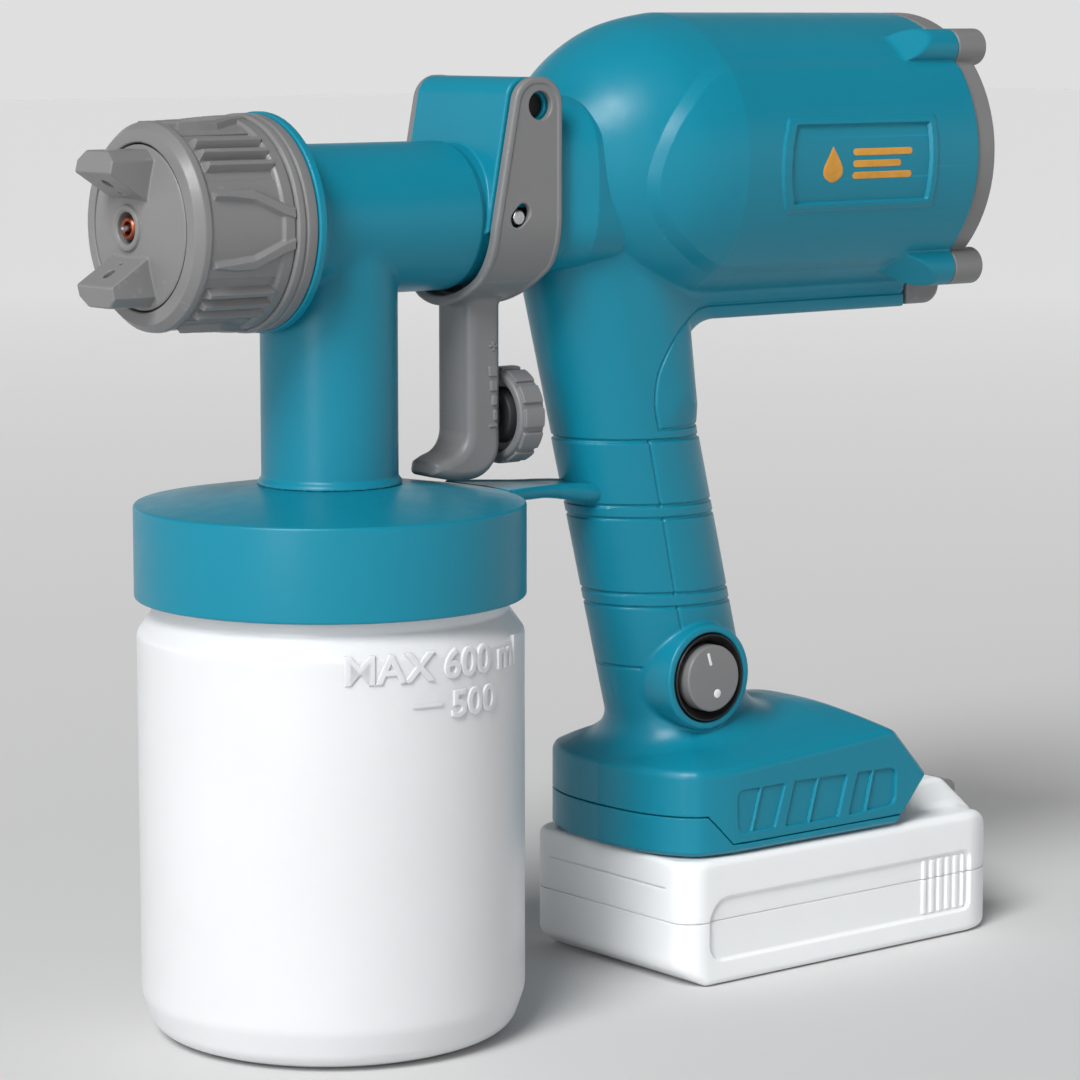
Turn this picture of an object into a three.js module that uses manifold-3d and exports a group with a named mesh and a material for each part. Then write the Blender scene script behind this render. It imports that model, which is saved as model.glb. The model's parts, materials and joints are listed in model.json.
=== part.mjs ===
// Cordless spray gun for paint: siphon cup in front, blower in the barrel, slide-on battery below.
// Millimetres. +X points to the rear of the gun (it sprays towards -X), +Z is up, and the gun is
// symmetric about y = 0 apart from the switch. The origin is the centre of the cup's underside.
import * as THREE from 'three';
import { mergeVertices } from 'three/addons/utils/BufferGeometryUtils.js';
import Module from 'manifold-3d';

const wasm = await Module();
wasm.setup();

// ---------------------------------------------------------------- driving dimensions
const GAP = 0.3;                    // clearance between pieces that touch
const CUP_R = 47.5;
const CUP_NECK_R = 43.5;
const CUP_NECK_TOP = 122;
const CUP_WALL = 1.9;
const LID_R = 48;
const LID_BOTTOM = 108.4;
const LID_TOP = 131;
const STEM_R = 16.75;               // upright tube over the cup
const TUBE_Z = 199.8;               // axis of the spray tube
const TUBE_R = 18.4;
const FLANGE_R = 26.4;
const FLANGE_X = -21;               // front face of the flange
const NUT_FRONT = -54;
const NUT_R = 25.4;
const PIVOT_X = 49.3;               // trigger pivot
const PIVOT_Z = 226.9;
const ARM_TOP_R = 7;
const ARM_Y = 21;                   // outer face of the trigger's arms
const ARM_IN = 18.6;
const PIN_X = 42.8;                 // cross pin that carries the needle
const BLOCK_Y = 18.2;
const BARREL_Z = 212.6;             // axis of the barrel and the blower
const BARREL_R = 36.9;
const BARREL_START = 103;
const BARREL_END = 184.2;
const COVER_END = 191.5;
const WALL = 2.4;
const HANDLE_A = 20.5;              // handle's half depth along X
const HANDLE_B = 16.5;              // handle's half width
const HANDLE_RAKE = 0.25;           // forward lean per millimetre of height
const HANDLE_X100 = 104.3;          // handle's centre line at z = 100
const BASE_BOTTOM = 34;
const BASE_FRONT = 85;
const BASE_SIDE = 32.2;
const BASE_TOP = 65;
const BASE_SHOULDER = 56;           // height of the base's top at its sides
const BATTERY_SIDE = 32.2;
const BATTERY_FRONT = 87.5;
const BATTERY_REAR = 205;
const BATTERY_SPLIT = 17;
const BATTERY_TOP = 33.4;
const CELL_R = 9;
const CELL_LENGTH = 65;
const SWITCH_X = 106.4;
const SWITCH_Z = 78.4;
const SWITCH_FACE = -19.8;
const KNOB_Z = 149;
const BOSS_Y = 25;                  // rear screw bosses, beside the barrel's axis
const BOSS_Z = { '-1': 182.2, 1: 240.4 };
const BOSS_END = 194.6;

// ---------------------------------------------------------------- materials
const plastic = (color, roughness = 0.45) => new THREE.MeshStandardMaterial({ color, roughness, metalness: 0 });
const metal = (color, roughness = 0.3) => new THREE.MeshStandardMaterial({ color, roughness, metalness: 1 });
const TEAL = plastic(0x17778f, 0.42);
const GREY = plastic(0x6d6d6f, 0.5);
const DARK = plastic(0x2b2c2e, 0.5);
const CUP_WHITE = plastic(0xecedef, 0.35);
const BATTERY_WHITE = plastic(0xe6eef0, 0.4);
const SEAL = plastic(0x9a9a94, 0.7);
const PTFE = plastic(0xf2f0ea, 0.5);
const FOAM = plastic(0x30343a, 0.95);
const BOARD = plastic(0x1e5b38, 0.5);
const RED = plastic(0xb02a22, 0.5);
const BLACK = plastic(0x151617, 0.5);
const COPPER = metal(0xc4572c, 0.35);
const STEEL = metal(0xb9bbbe, 0.3);
const CELL = plastic(0x4a7fa8, 0.4);

const gun = new THREE.Group();
gun.name = 'spray_gun';

// ---------------------------------------------------------------- solids
function geometryVolume(position, triangles) {
  const a = new THREE.Vector3();
  const b = new THREE.Vector3();
  const c = new THREE.Vector3();
  let volume = 0;
  for (let i = 0; i < triangles.length; i += 3) {
    a.fromBufferAttribute(position, triangles[i]);
    b.fromBufferAttribute(position, triangles[i + 1]);
    c.fromBufferAttribute(position, triangles[i + 2]);
    volume += a.dot(b.cross(c)) / 6;
  }
  return volume;
}

// A closed three.js geometry as a manifold solid: vertices shared, slivers on an axis dropped, faces out.
function solid(geometry) {
  const bare = geometry.clone();
  bare.deleteAttribute('normal');
  bare.deleteAttribute('uv');
  const merged = mergeVertices(bare, 1e-4);
  const index = merged.index.array;
  const triangles = [];
  for (let i = 0; i < index.length; i += 3) {
    const [a, b, c] = [index[i], index[i + 1], index[i + 2]];
    if (a !== b && b !== c && c !== a) triangles.push(a, b, c);
  }
  if (geometryVolume(merged.attributes.position, triangles) < 0) triangles.reverse();
  return new wasm.Manifold(new wasm.Mesh({
    numProp: 3,
    vertProperties: new Float32Array(merged.attributes.position.array),
    triVerts: new Uint32Array(triangles),
  }));
}

// Adds a named piece; slivers that a cut leaves loose are dropped.
function piece(name, body, material) {
  const [largest] = body.decompose().sort((a, b) => b.volume() - a.volume());
  const mesh = largest.getMesh();
  const geometry = new THREE.BufferGeometry();
  geometry.setAttribute('position', new THREE.BufferAttribute(new Float32Array(mesh.vertProperties), 3));
  geometry.setIndex(new THREE.BufferAttribute(new Uint32Array(mesh.triVerts), 1));
  geometry.computeVertexNormals();
  const result = new THREE.Mesh(geometry, material);
  result.name = name;
  gun.add(result);
}

const joined = (bodies) => bodies.reduce((sum, body) => sum.add(body));
const cut = (body, tools) => tools.reduce((rest, tool) => rest.subtract(tool), body);

// Solid of revolution about a line along X at height z: outline is [x, radius] pairs.
function turned(outline, z, segments = 24, y = 0) {
  const points = outline.map(([x, r]) => new THREE.Vector2(r, x));
  const geometry = new THREE.LatheGeometry(points, segments);
  geometry.rotateZ(-Math.PI / 2);
  geometry.translate(0, y, z);
  return solid(geometry);
}

// Solid of revolution about a vertical line: outline is [radius, z] pairs.
function turnedUp(outline, segments = 24) {
  const points = outline.map(([r, z]) => new THREE.Vector2(r, z));
  const geometry = new THREE.LatheGeometry(points, segments);
  geometry.rotateX(Math.PI / 2);
  return solid(geometry);
}

const closed = (outline) => [...outline, outline[0]];
const rodX = (x0, x1, r, z, y = 0, segments = 12) => turned([[x0, 0], [x0, r], [x1, r], [x1, 0]], z, segments, y);

function ringX(x0, x1, inner, outer, z, segments = 20) {
  return turned(closed([[x0, inner], [x0, outer], [x1, outer], [x1, inner]]), z, segments);
}

function rodY(x, z, r, y0, y1, segments = 12) {
  const geometry = new THREE.CylinderGeometry(r, r, y1 - y0, segments);
  geometry.translate(x, (y0 + y1) / 2, z);
  return solid(geometry);
}

function box(x0, x1, y0, y1, z0, z1) {
  const geometry = new THREE.BoxGeometry(x1 - x0, y1 - y0, z1 - z0);
  geometry.translate((x0 + x1) / 2, (y0 + y1) / 2, (z0 + z1) / 2);
  return solid(geometry);
}

// A polygon whose corners are rounded: points are [u, v, corner radius].
function rounded(points) {
  const shape = new THREE.Shape();
  points.forEach(([u, v, r = 0], i) => {
    const here = new THREE.Vector2(u, v);
    const [pu, pv] = points[(i + points.length - 1) % points.length];
    const [nu, nv] = points[(i + 1) % points.length];
    const back = new THREE.Vector2(pu, pv).sub(here).setLength(r).add(here);
    const ahead = new THREE.Vector2(nu, nv).sub(here).setLength(r).add(here);
    if (i === 0) shape.moveTo(back.x, back.y);
    else shape.lineTo(back.x, back.y);
    if (r > 0) shape.quadraticCurveTo(here.x, here.y, ahead.x, ahead.y);
  });
  shape.closePath();
  return shape;
}

const roundedBox = (u0, u1, v0, v1, r) => rounded([[u0, v0, r], [u1, v0, r], [u1, v1, r], [u0, v1, r]]);

function extruded(shape, depth, curveSegments = 6) {
  return new THREE.ExtrudeGeometry(shape, { depth, bevelEnabled: false, curveSegments });
}

// A shape drawn in (x, z) and thickened along Y.
function slabY(shape, y0, y1, curveSegments = 6) {
  const geometry = extruded(shape, y1 - y0, curveSegments);
  geometry.rotateX(Math.PI / 2);
  geometry.translate(0, y1, 0);
  return solid(geometry);
}

// A shape drawn in (y, z) and thickened along X.
function slabX(shape, x0, x1, curveSegments = 6) {
  const geometry = extruded(shape, x1 - x0, curveSegments);
  const turn = new THREE.Matrix4().makeBasis(
    new THREE.Vector3(0, 1, 0),
    new THREE.Vector3(0, 0, 1),
    new THREE.Vector3(1, 0, 0),
  );
  geometry.applyMatrix4(turn);
  geometry.translate(x0, 0, 0);
  return solid(geometry);
}

// A shape drawn in (x, y) and thickened along Z.
function slabZ(shape, z0, z1, curveSegments = 6) {
  const geometry = extruded(shape, z1 - z0, curveSegments);
  geometry.translate(0, 0, z0);
  return solid(geometry);
}

// A round wire or tube along a smooth curve through the points.
function wire(points, radius, steps, sides = 8) {
  const curve = new THREE.CatmullRomCurve3(points.map((p) => new THREE.Vector3(...p)));
  const section = new THREE.Shape();
  for (let i = 0; i < sides; i += 1) {
    const angle = (2 * Math.PI * i) / sides;
    const [u, v] = [radius * Math.cos(angle), radius * Math.sin(angle)];
    if (i === 0) section.moveTo(u, v);
    else section.lineTo(u, v);
  }
  section.closePath();
  return solid(new THREE.ExtrudeGeometry(section, { steps, extrudePath: curve, bevelEnabled: false }));
}

// ---------------------------------------------------------------- cup, lid and pick-up
function cup() {
  const inner = CUP_R - CUP_WALL;
  const outline = [
    [0, 0], [39, 0], [44.5, 2.4], [CUP_R, 10], [CUP_R, 99.5], [CUP_NECK_R, 106.4],
    [CUP_NECK_R, CUP_NECK_TOP], [CUP_NECK_R - 2.4, CUP_NECK_TOP], [CUP_NECK_R - 2.4, 105], [inner, 98],
    [inner, 11], [43, 4.4], [38, 2.3], [0, 2.3],
  ];
  piece('cup', turnedUp(outline, 32), CUP_WHITE);
}

function lid() {
  const skirt = 44.3;
  const outline = closed([
    [12.6, LID_TOP - 5], [skirt, LID_TOP - 5], [skirt, LID_BOTTOM], [LID_R, LID_BOTTOM],
    [LID_R, LID_TOP - 1.2], [LID_R - 1.2, LID_TOP], [12.6, LID_TOP],
  ]);
  piece('lid', turnedUp(outline, 32), TEAL);
  piece('lid_gasket', turnedUp(closed([[40.6, 122.3], [44, 122.3], [44, 125.7], [40.6, 125.7]])), SEAL);
  const hexagon = turnedUp([[0, 119], [18, 119], [18, 125.6], [0, 125.6]], 6);
  piece('lid_nut', hexagon.subtract(turnedUp([[0, 110], [12.3, 110], [12.3, 130], [0, 130]], 20)), GREY);
}

function pickupTube() {
  const tube = (radius, low, high) => wire([
    [0, 0, high], [0, 0, 90], [0, 0, 60], [2, 0, 35], [9, 0, 18], [15, 0, low],
  ], radius, 12, 8);
  piece('pickup_tube', tube(4, 7, 117).subtract(tube(2.6, 6.4, 117.5)), PTFE);
}

// ---------------------------------------------------------------- spray head
// Side outline of the pivot block: a teardrop that leans forward from the pivot to the tube.
function blockOutline(margin = 0) {
  const r = ARM_TOP_R + margin;
  return rounded([
    [34.2 - margin, 199], [41.4 - margin, PIVOT_Z + r, 7], [PIVOT_X + r, PIVOT_Z + r, 7],
    [PIVOT_X + r, 199],
  ]);
}

// Oval neck between the block and the barrel's dome, slimmer towards the trigger's arms.
function neckSolid(margin) {
  const front = 56;
  const rear = 76;
  const taper = 0.9;
  const geometry = new THREE.CylinderGeometry(1, taper, rear - front, 28);
  geometry.rotateZ(-Math.PI / 2);
  geometry.scale(1, 20 + margin, 22.6 + margin);
  geometry.translate((front + rear) / 2, 0, 207.5);
  return solid(geometry);
}

function sprayHead() {
  const stem = turnedUp([
    [0, LID_TOP + GAP], [STEM_R + 0.9, LID_TOP + GAP], [STEM_R, 133], [STEM_R, TUBE_Z], [0, TUBE_Z],
  ]);
  const spigot = turnedUp([[0, 119.2], [11.9, 119.2], [11.9, LID_TOP + 1], [0, LID_TOP + 1]], 20);
  const tube = turned([
    [FLANGE_X, 0], [FLANGE_X, FLANGE_R], [FLANGE_X + 2.4, FLANGE_R], [FLANGE_X + 4.6, TUBE_R + 1.4],
    [FLANGE_X + 7.5, TUBE_R], [33, TUBE_R], [35, TUBE_R - 0.9], [57, TUBE_R - 0.9], [57, 0],
  ], TUBE_Z, 28);
  const block = slabY(blockOutline(), -BLOCK_Y, BLOCK_Y);
  const neck = neckSolid(0);
  const bore = turned([[-30, 0], [-30, 15.4], [80, 15.4], [80, 0]], TUBE_Z, 20);
  const stemBore = turnedUp([[0, 100], [9.4, 100], [9.4, 190], [0, 190]], 12);
  const pivotBore = rodY(PIVOT_X, PIVOT_Z, 3.1, -30, 30);
  const pinSlot = slabY(roundedBox(PIN_X - 2.3, PIN_X + 7.3, TUBE_Z - 2.3, TUBE_Z + 2.3, 2), -30, 30, 3);
  piece('spray_head', cut(joined([stem, spigot, tube, block, neck]), [bore, stemBore, pivotBore, pinSlot]), TEAL);
}

function fluidTube() {
  const along = turned([[-34, 0], [-34, 7], [22, 7], [22, 7.9], [30, 7.9], [30, 0]], TUBE_Z, 12);
  const up = turnedUp([[0, 117.3], [8.8, 117.3], [8.8, TUBE_Z], [0, TUBE_Z]], 12);
  const bore = turned([[-36, 0], [-36, 3.2], [24, 3.2], [24, 5.4], [31, 5.4], [31, 0]], TUBE_Z, 12);
  const rise = turnedUp([[0, 110], [3.2, 110], [3.2, TUBE_Z], [0, TUBE_Z]], 12);
  piece('fluid_tube', cut(joined([along, up]), [bore, rise]), PTFE);
  piece('needle_packing', ringX(24.3, 29.6, 1.6, 5.1, TUBE_Z, 12), SEAL);
  piece('packing_nut', ringX(30.3, 34.6, 1.6, 7.4, TUBE_Z, 6), STEEL);
}

function needleAssembly() {
  const needle = turned([[-59, 0], [-58.6, 0.35], [-54, 1.2], [40.3, 1.2], [40.3, 0]], TUBE_Z, 12);
  piece('needle', needle, STEEL);
  const carrier = rodX(36, 50, 5.6, TUBE_Z);
  const socket = rodX(35, 40.6, 1.55, TUBE_Z, 0, 12);
  piece('needle_carrier', cut(carrier, [socket, rodY(PIN_X, TUBE_Z, 2.1, -8, 8, 12)]), STEEL);
  piece('needle_cross_pin', rodY(PIN_X, TUBE_Z, 1.8, -ARM_Y + 0.4, ARM_Y - 0.4, 14), STEEL);
  const turns = 6;
  const steps = turns * 7;
  const coil = Array.from({ length: steps + 1 }, (_, i) => {
    const angle = (2 * Math.PI * turns * i) / steps;
    return [51.2 + (18 * i) / steps, 4.3 * Math.cos(angle), TUBE_Z + 4.3 * Math.sin(angle)];
  });
  piece('needle_spring', wire(coil, 0.55, steps, 4), STEEL);
  const seat = ringX(69.7, 72.7, 2.5, 15, TUBE_Z);
  const holes = [0, 1, 2, 3].map((i) => {
    const angle = (Math.PI * (2 * i + 1)) / 4;
    return rodX(69, 74, 3.4, TUBE_Z + 11 * Math.sin(angle), 11 * Math.cos(angle), 10);
  });
  piece('spring_seat', cut(seat, holes), GREY);
}

// ---------------------------------------------------------------- nozzle end
function nozzleEnd() {
  const holder = turned(closed([
    [FLANGE_X - GAP, 16.2], [FLANGE_X - GAP, 26], [-26.4, 26], [-26.9, 25.4], [-26.9, 21], [-45, 21],
    [-45, 8], [-41, 8], [-41, 16.2],
  ]), TUBE_Z);
  const airHoles = Array.from({ length: 6 }, (_, i) => {
    const angle = (Math.PI * i) / 3;
    return rodX(-46, -40, 2.2, TUBE_Z + 12.4 * Math.sin(angle), 12.4 * Math.cos(angle), 8);
  });
  piece('nozzle_holder', cut(holder, airHoles), GREY);
  piece('air_cap_seal', ringX(-46.9, -45.3, 17, 20.4, TUBE_Z), SEAL);
  piece('paint_nozzle', turned(closed([
    [-34.3, 1.6], [-34.3, 7], [-44.6, 7], [-46.4, 3.4], [-57.2, 2.6], [-57.2, 1.6],
  ]), TUBE_Z, 16), COPPER);
  collarNut();
  airCap();
}

function collarNut() {
  const shell = turned(closed([
    [-27.2, 21.4], [-27.2, NUT_R + 0.4], [-31, NUT_R + 0.4], [-31.8, NUT_R - 0.9], [-51.4, 24.4],
    [NUT_FRONT + 1, 23.4], [NUT_FRONT, 21.4], [NUT_FRONT, 19.6], [-51, 19.6], [-51, 21.4],
  ]), TUBE_Z, 28);
  const ribs = [];
  for (let quarter = 0; quarter < 4; quarter += 1) {
    for (let k = -1; k <= 1; k += 1) {
      const angle = (Math.PI / 2) * quarter + Math.PI / 4 + k * 0.17;
      const rib = new THREE.BoxGeometry(13, 1.9, 2.4);
      rib.translate(-40, 0, 24.9);
      rib.rotateX(angle - Math.PI / 2);
      rib.translate(0, 0, TUBE_Z);
      ribs.push(solid(rib));
    }
  }
  piece('collar_nut', joined([shell, ...ribs]), GREY);
}

function airCap() {
  const disc = turned(closed([
    [-47.2, 8.6], [-47.2, 20.9], [-50.7, 20.9], [-50.7, 19.2], [-53.7, 19], [-56.4, 9], [-57.4, 5.4],
    [-58, 4.8], [-58, 3.3], [-49, 3.9], [-49, 8.6],
  ]), TUBE_Z);
  const horn = slabX(rounded([
    [-7, 7.5, 1], [7, 7.5, 1], [8, 15, 2], [5, 18.2, 2], [-5, 18.2, 2], [-8, 15, 2],
  ]), -66.5, -52);
  const slope = box(-12, 12, -12, 12, -12, 12).rotate([0, 33, 0]).translate([-71.5, 0, 0.5]);
  const upper = horn.subtract(slope).translate([0, 0, TUBE_Z]);
  const lower = upper.translate([0, 0, -TUBE_Z]).rotate([180, 0, 0]).translate([0, 0, TUBE_Z]);
  piece('air_cap', joined([disc, upper, lower]), GREY);
}

// ---------------------------------------------------------------- trigger
function trigger() {
  const yokeSection = new THREE.Shape();
  yokeSection.moveTo(-ARM_Y, 240);
  yokeSection.lineTo(-ARM_Y, TUBE_Z);
  yokeSection.absellipse(0, TUBE_Z, ARM_Y, 22.3, Math.PI, 2 * Math.PI, false, 0);
  yokeSection.lineTo(ARM_Y, 240);
  yokeSection.lineTo(ARM_IN, 240);
  yokeSection.lineTo(ARM_IN, TUBE_Z);
  yokeSection.absellipse(0, TUBE_Z, ARM_IN + 0.2, 19.8, 0, -Math.PI, true, 0);
  yokeSection.lineTo(-ARM_IN, 240);
  yokeSection.closePath();
  const side = rounded([
    [33.4, 174], [35.2, 184, 4], [35, 198, 6], [42.3, PIVOT_Z + ARM_TOP_R, 6.9],
    [PIVOT_X + ARM_TOP_R, PIVOT_Z + ARM_TOP_R, 6.9], [PIVOT_X + ARM_TOP_R, 186, 6], [51, 176, 3],
  ]);
  const yoke = slabX(yokeSection, 15, 60, 7).intersect(slabY(side, -30, 30, 5));
  const blade = slabY(rounded([
    [37.6, 179.2], [48.2, 179.2], [48.2, 134, 11], [34, 134, 3], [27.5, 135.2, 0.8], [28, 138.6, 0.8],
    [37.6, 141, 6],
  ]), -7, 7, 5);
  const tipPlan = slabZ(rounded([[26, -7, 6.5], [60, -7], [60, 7], [26, 7, 6.5]]), 130, 180);
  const holes = [
    rodY(PIVOT_X, PIVOT_Z, 3.5, -30, 30),
    rodX(40.5, 50, 3.3, KNOB_Z),
  ];
  const slot = roundedBox(-3.3, 3.3, -2.15, 2.15, 2.1);
  const slotTool = slabY(slot, -30, 30, 4).rotate([0, -45, 0]).translate([PIN_X + 0.4, 0, TUBE_Z + 0.4]);
  piece('trigger', cut(joined([yoke, blade.intersect(tipPlan)]), [...holes, slotTool]), GREY);
  piece('trigger_pivot_pin', rodY(PIVOT_X, PIVOT_Z, 2.8, -ARM_Y + 1.6, ARM_Y - 1.6), STEEL);
}

function flowKnob() {
  const body = turned([
    [50.6, 0], [50.6, 10.4], [51.4, 11.4], [57.6, 11.4], [58.4, 10.4], [58.4, 0],
  ], KNOB_Z, 24);
  const pads = Array.from({ length: 12 }, (_, i) => {
    const pad = new THREE.BoxGeometry(5.4, 4.1, 1.6);
    pad.translate(54.6, 0, 11.5);
    pad.rotateX((2 * Math.PI * i) / 12);
    pad.translate(0, 0, KNOB_Z);
    return solid(pad);
  });
  const bore = rodX(49, 56, 3.3, KNOB_Z);
  piece('flow_knob', cut(joined([body, ...pads]), [bore]), GREY);
  piece('flow_screw', rodX(41, 55.6, 3, KNOB_Z), DARK);
}

// ---------------------------------------------------------------- gun housing
const handleX = (z) => HANDLE_X100 - HANDLE_RAKE * (z - 100);

// Elliptic handle column between two heights, leaning forward as it rises.
function handleColumn(margin, z0, z1, segments = 24) {
  const geometry = new THREE.CylinderGeometry(1, 1, z1 - z0, segments);
  geometry.rotateX(Math.PI / 2);
  geometry.scale(HANDLE_A + margin, HANDLE_B + margin, 1);
  geometry.translate(0, 0, (z0 + z1) / 2);
  const lean = new THREE.Matrix4().set(1, 0, -HANDLE_RAKE, handleX(0), 0, 1, 0, 0, 0, 0, 1, 0, 0, 0, 0, 1);
  geometry.applyMatrix4(lean);
  return solid(geometry);
}

function barrelProfile(inset, start, end) {
  const dome = [[70, 21.4], [75, 25.8], [80, 29.4], [85, 32.2], [90, 34.4], [96, 36.1], [BARREL_START, BARREL_R]];
  const shape = dome.map(([x, r]) => [x + inset, r - inset]);
  return [[start, 0], [start, 15 - inset], ...shape, [end, BARREL_R - inset], [end, 0]];
}

// Web under the barrel that sweeps into the back of the handle.
function keel(margin) {
  const m = margin;
  const side = rounded([
    [84, 196], [98, 158 + m, 4], [handleX(158) + HANDLE_A - 2 + m, 158 + m, 1], [112 + m, 170.6 - m, 9],
    [BARREL_END + (m < 0 ? 1 : 0), 170.6 - m], [BARREL_END + (m < 0 ? 1 : 0), 196],
  ]);
  return slabY(side, -12 - m, 12 + m);
}

function basePlan(margin) {
  const m = margin;
  const front = BASE_FRONT - m;
  const half = BASE_SIDE + m;
  return rounded([
    [front, -half, 25 + m], [176 + m, -half], [176 + m, half], [front, half, 25 + m],
  ]);
}

// The base: its plan, its side outline and its crowned top all at once.
function baseSolid(margin, bottom) {
  const m = margin;
  const side = rounded([
    [70, bottom], [163.2, bottom, 2], [174 + m, 46, 1.5], [161 + m, BASE_SHOULDER + 3 + m, 2],
    [151, BASE_TOP + 1 + m, 6], [104, BASE_TOP + 1 + m, 8], [84, BASE_SHOULDER + m], [70, BASE_SHOULDER + m],
  ]);
  const crown = rounded([
    [-40, bottom], [40, bottom], [40, BASE_SHOULDER - 2.6 + m], [BASE_SIDE, BASE_SHOULDER + m, 2],
    [0, BASE_TOP + 4 + m, 26], [-BASE_SIDE, BASE_SHOULDER + m, 2], [-40, BASE_SHOULDER - 2.6 + m],
  ]);
  const plan = slabZ(basePlan(m), bottom, 80, 5);
  return plan.intersect(slabY(side, -45, 45)).intersect(slabX(crown, 70, 190, 6));
}

function bossAt(side, level, x0, x1, r, segments = 12) {
  return rodX(x0, x1, r, BOSS_Z[level], side * BOSS_Y, segments);
}

// Everything of the base below the parting line that steps down behind its front corner.
function belowPartingLine(gap) {
  const front = 44.4 - gap;
  const side = 36.6 - gap;
  return slabY(rounded([[60, 20], [60, front], [97 - gap, front], [104.6 - gap, side], [190, side], [190, 20]]), -45, 45);
}

function baseFrame() {
  const wall = baseSolid(0, BASE_BOTTOM).subtract(baseSolid(-WALL, BASE_BOTTOM - 5));
  const core = baseSolid(-1, BASE_BOTTOM - 5);
  const rails = [-1, 1].map(
    (side) => box(90, 160, 25.2 * side - 5.8, 25.2 * side + 5.8, 34.2, 36.3).intersect(core),
  );
  const rearWay = box(150, 190, -23, 23, 20, 42.6);
  const rim = wall.intersect(belowPartingLine(0.15)).subtract(rearWay);
  piece('base_frame', joined([rim, ...rails]), TEAL);
}

function housing() {
  const barrel = turned(barrelProfile(0, 66, BARREL_END), BARREL_Z, 32);
  const foot = new THREE.CylinderGeometry(1, 1.28, 12, 24);
  foot.rotateX(Math.PI / 2);
  foot.scale(HANDLE_A, HANDLE_B, 1);
  foot.translate(handleX(66) + 1, 0, 66);
  const bosses = [];
  const bores = [];
  for (const side of [-1, 1]) {
    for (const level of [-1, 1]) {
      bosses.push(bossAt(side, level, 160, BARREL_END, 4.9));
      bores.push(bossAt(side, level, 168, BARREL_END + 2, 2, 8));
    }
  }
  const outside = joined([
    barrel, handleColumn(0, 50, 200), keel(0), baseSolid(0, BASE_BOTTOM), solid(foot), ...bosses,
    rodY(SWITCH_X, SWITCH_Z, 13.6, SWITCH_FACE, 0, 20),
  ]);
  const inside = joined([
    turned(barrelProfile(WALL, 60, BARREL_END + 2), BARREL_Z, 20),
    handleColumn(-WALL, 45, 196), keel(-WALL), baseSolid(-WALL, BASE_BOTTOM - 5),
  ]);
  const openings = [
    neckSolid(GAP),
    rodY(SWITCH_X, SWITCH_Z, 11.7, SWITCH_FACE - 4, -6, 20),
    box(150, 190, -23, 23, 20, 42.6),
    belowPartingLine(-0.15),
    ...bores,
  ];
  const walls = cut(outside, [inside, ...openings]).add(screwPosts().intersect(outside));
  const shell = cut(walls, screwHoles());
  piece('housing_left', shell.intersect(box(0, 260, -60, -0.15, 0, 300)), TEAL);
  piece('housing_right', shell.intersect(box(0, 260, 0.15, 60, 0, 300)), TEAL);
}

// Screws that close the two halves, put in from the far side: x, z and the depth of the head's seat.
const HOUSING_SCREWS = [[122, 176.8, 8.4], [76, 168, 10.4], [106.5, 104, 13], [98, 51, 18], [152, 60, 17]];
const POST_R = 3.9;

function screwPosts() {
  return joined(HOUSING_SCREWS.map(([x, z, seat]) => rodY(x, z, POST_R, -32, seat + 0.6)));
}

function screwHoles() {
  return HOUSING_SCREWS.flatMap(([x, z, seat]) => [rodY(x, z, 1.9, -8, seat + 1, 8), rodY(x, z, 3.1, seat, 60, 8)]);
}

function housingScrews() {
  HOUSING_SCREWS.forEach(([x, z, seat], i) => {
    const shank = rodY(x, z, 1.6, -7.6, seat + 0.6, 8);
    const head = rodY(x, z, 2.8, seat + 0.3, seat + 2.4, 8);
    piece(`housing_screw_${i + 1}`, joined([shank, head]), STEEL);
  });
}

// Flat arm from the back of the lid to the front of the handle.
function lidArm() {
  const half = [[LID_R - 2, 13], [56, 12, 6], [66, 7.4, 8], [84, 7.2]];
  const plan = rounded([...half, ...half.map(([x, y, r]) => [x, -y, r]).reverse()]);
  const plate = slabZ(plan, -1.6, 1.6);
  const sloped = plate.rotate([0, 3.4, 0]).translate([0, 0, 132.6]);
  const lidClear = turnedUp([[0, 100], [LID_R + GAP, 100], [LID_R + GAP, 140], [0, 140]], 36);
  piece('lid_arm', cut(sloped, [lidClear, handleColumn(GAP, 100, 160)]), TEAL);
}

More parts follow.
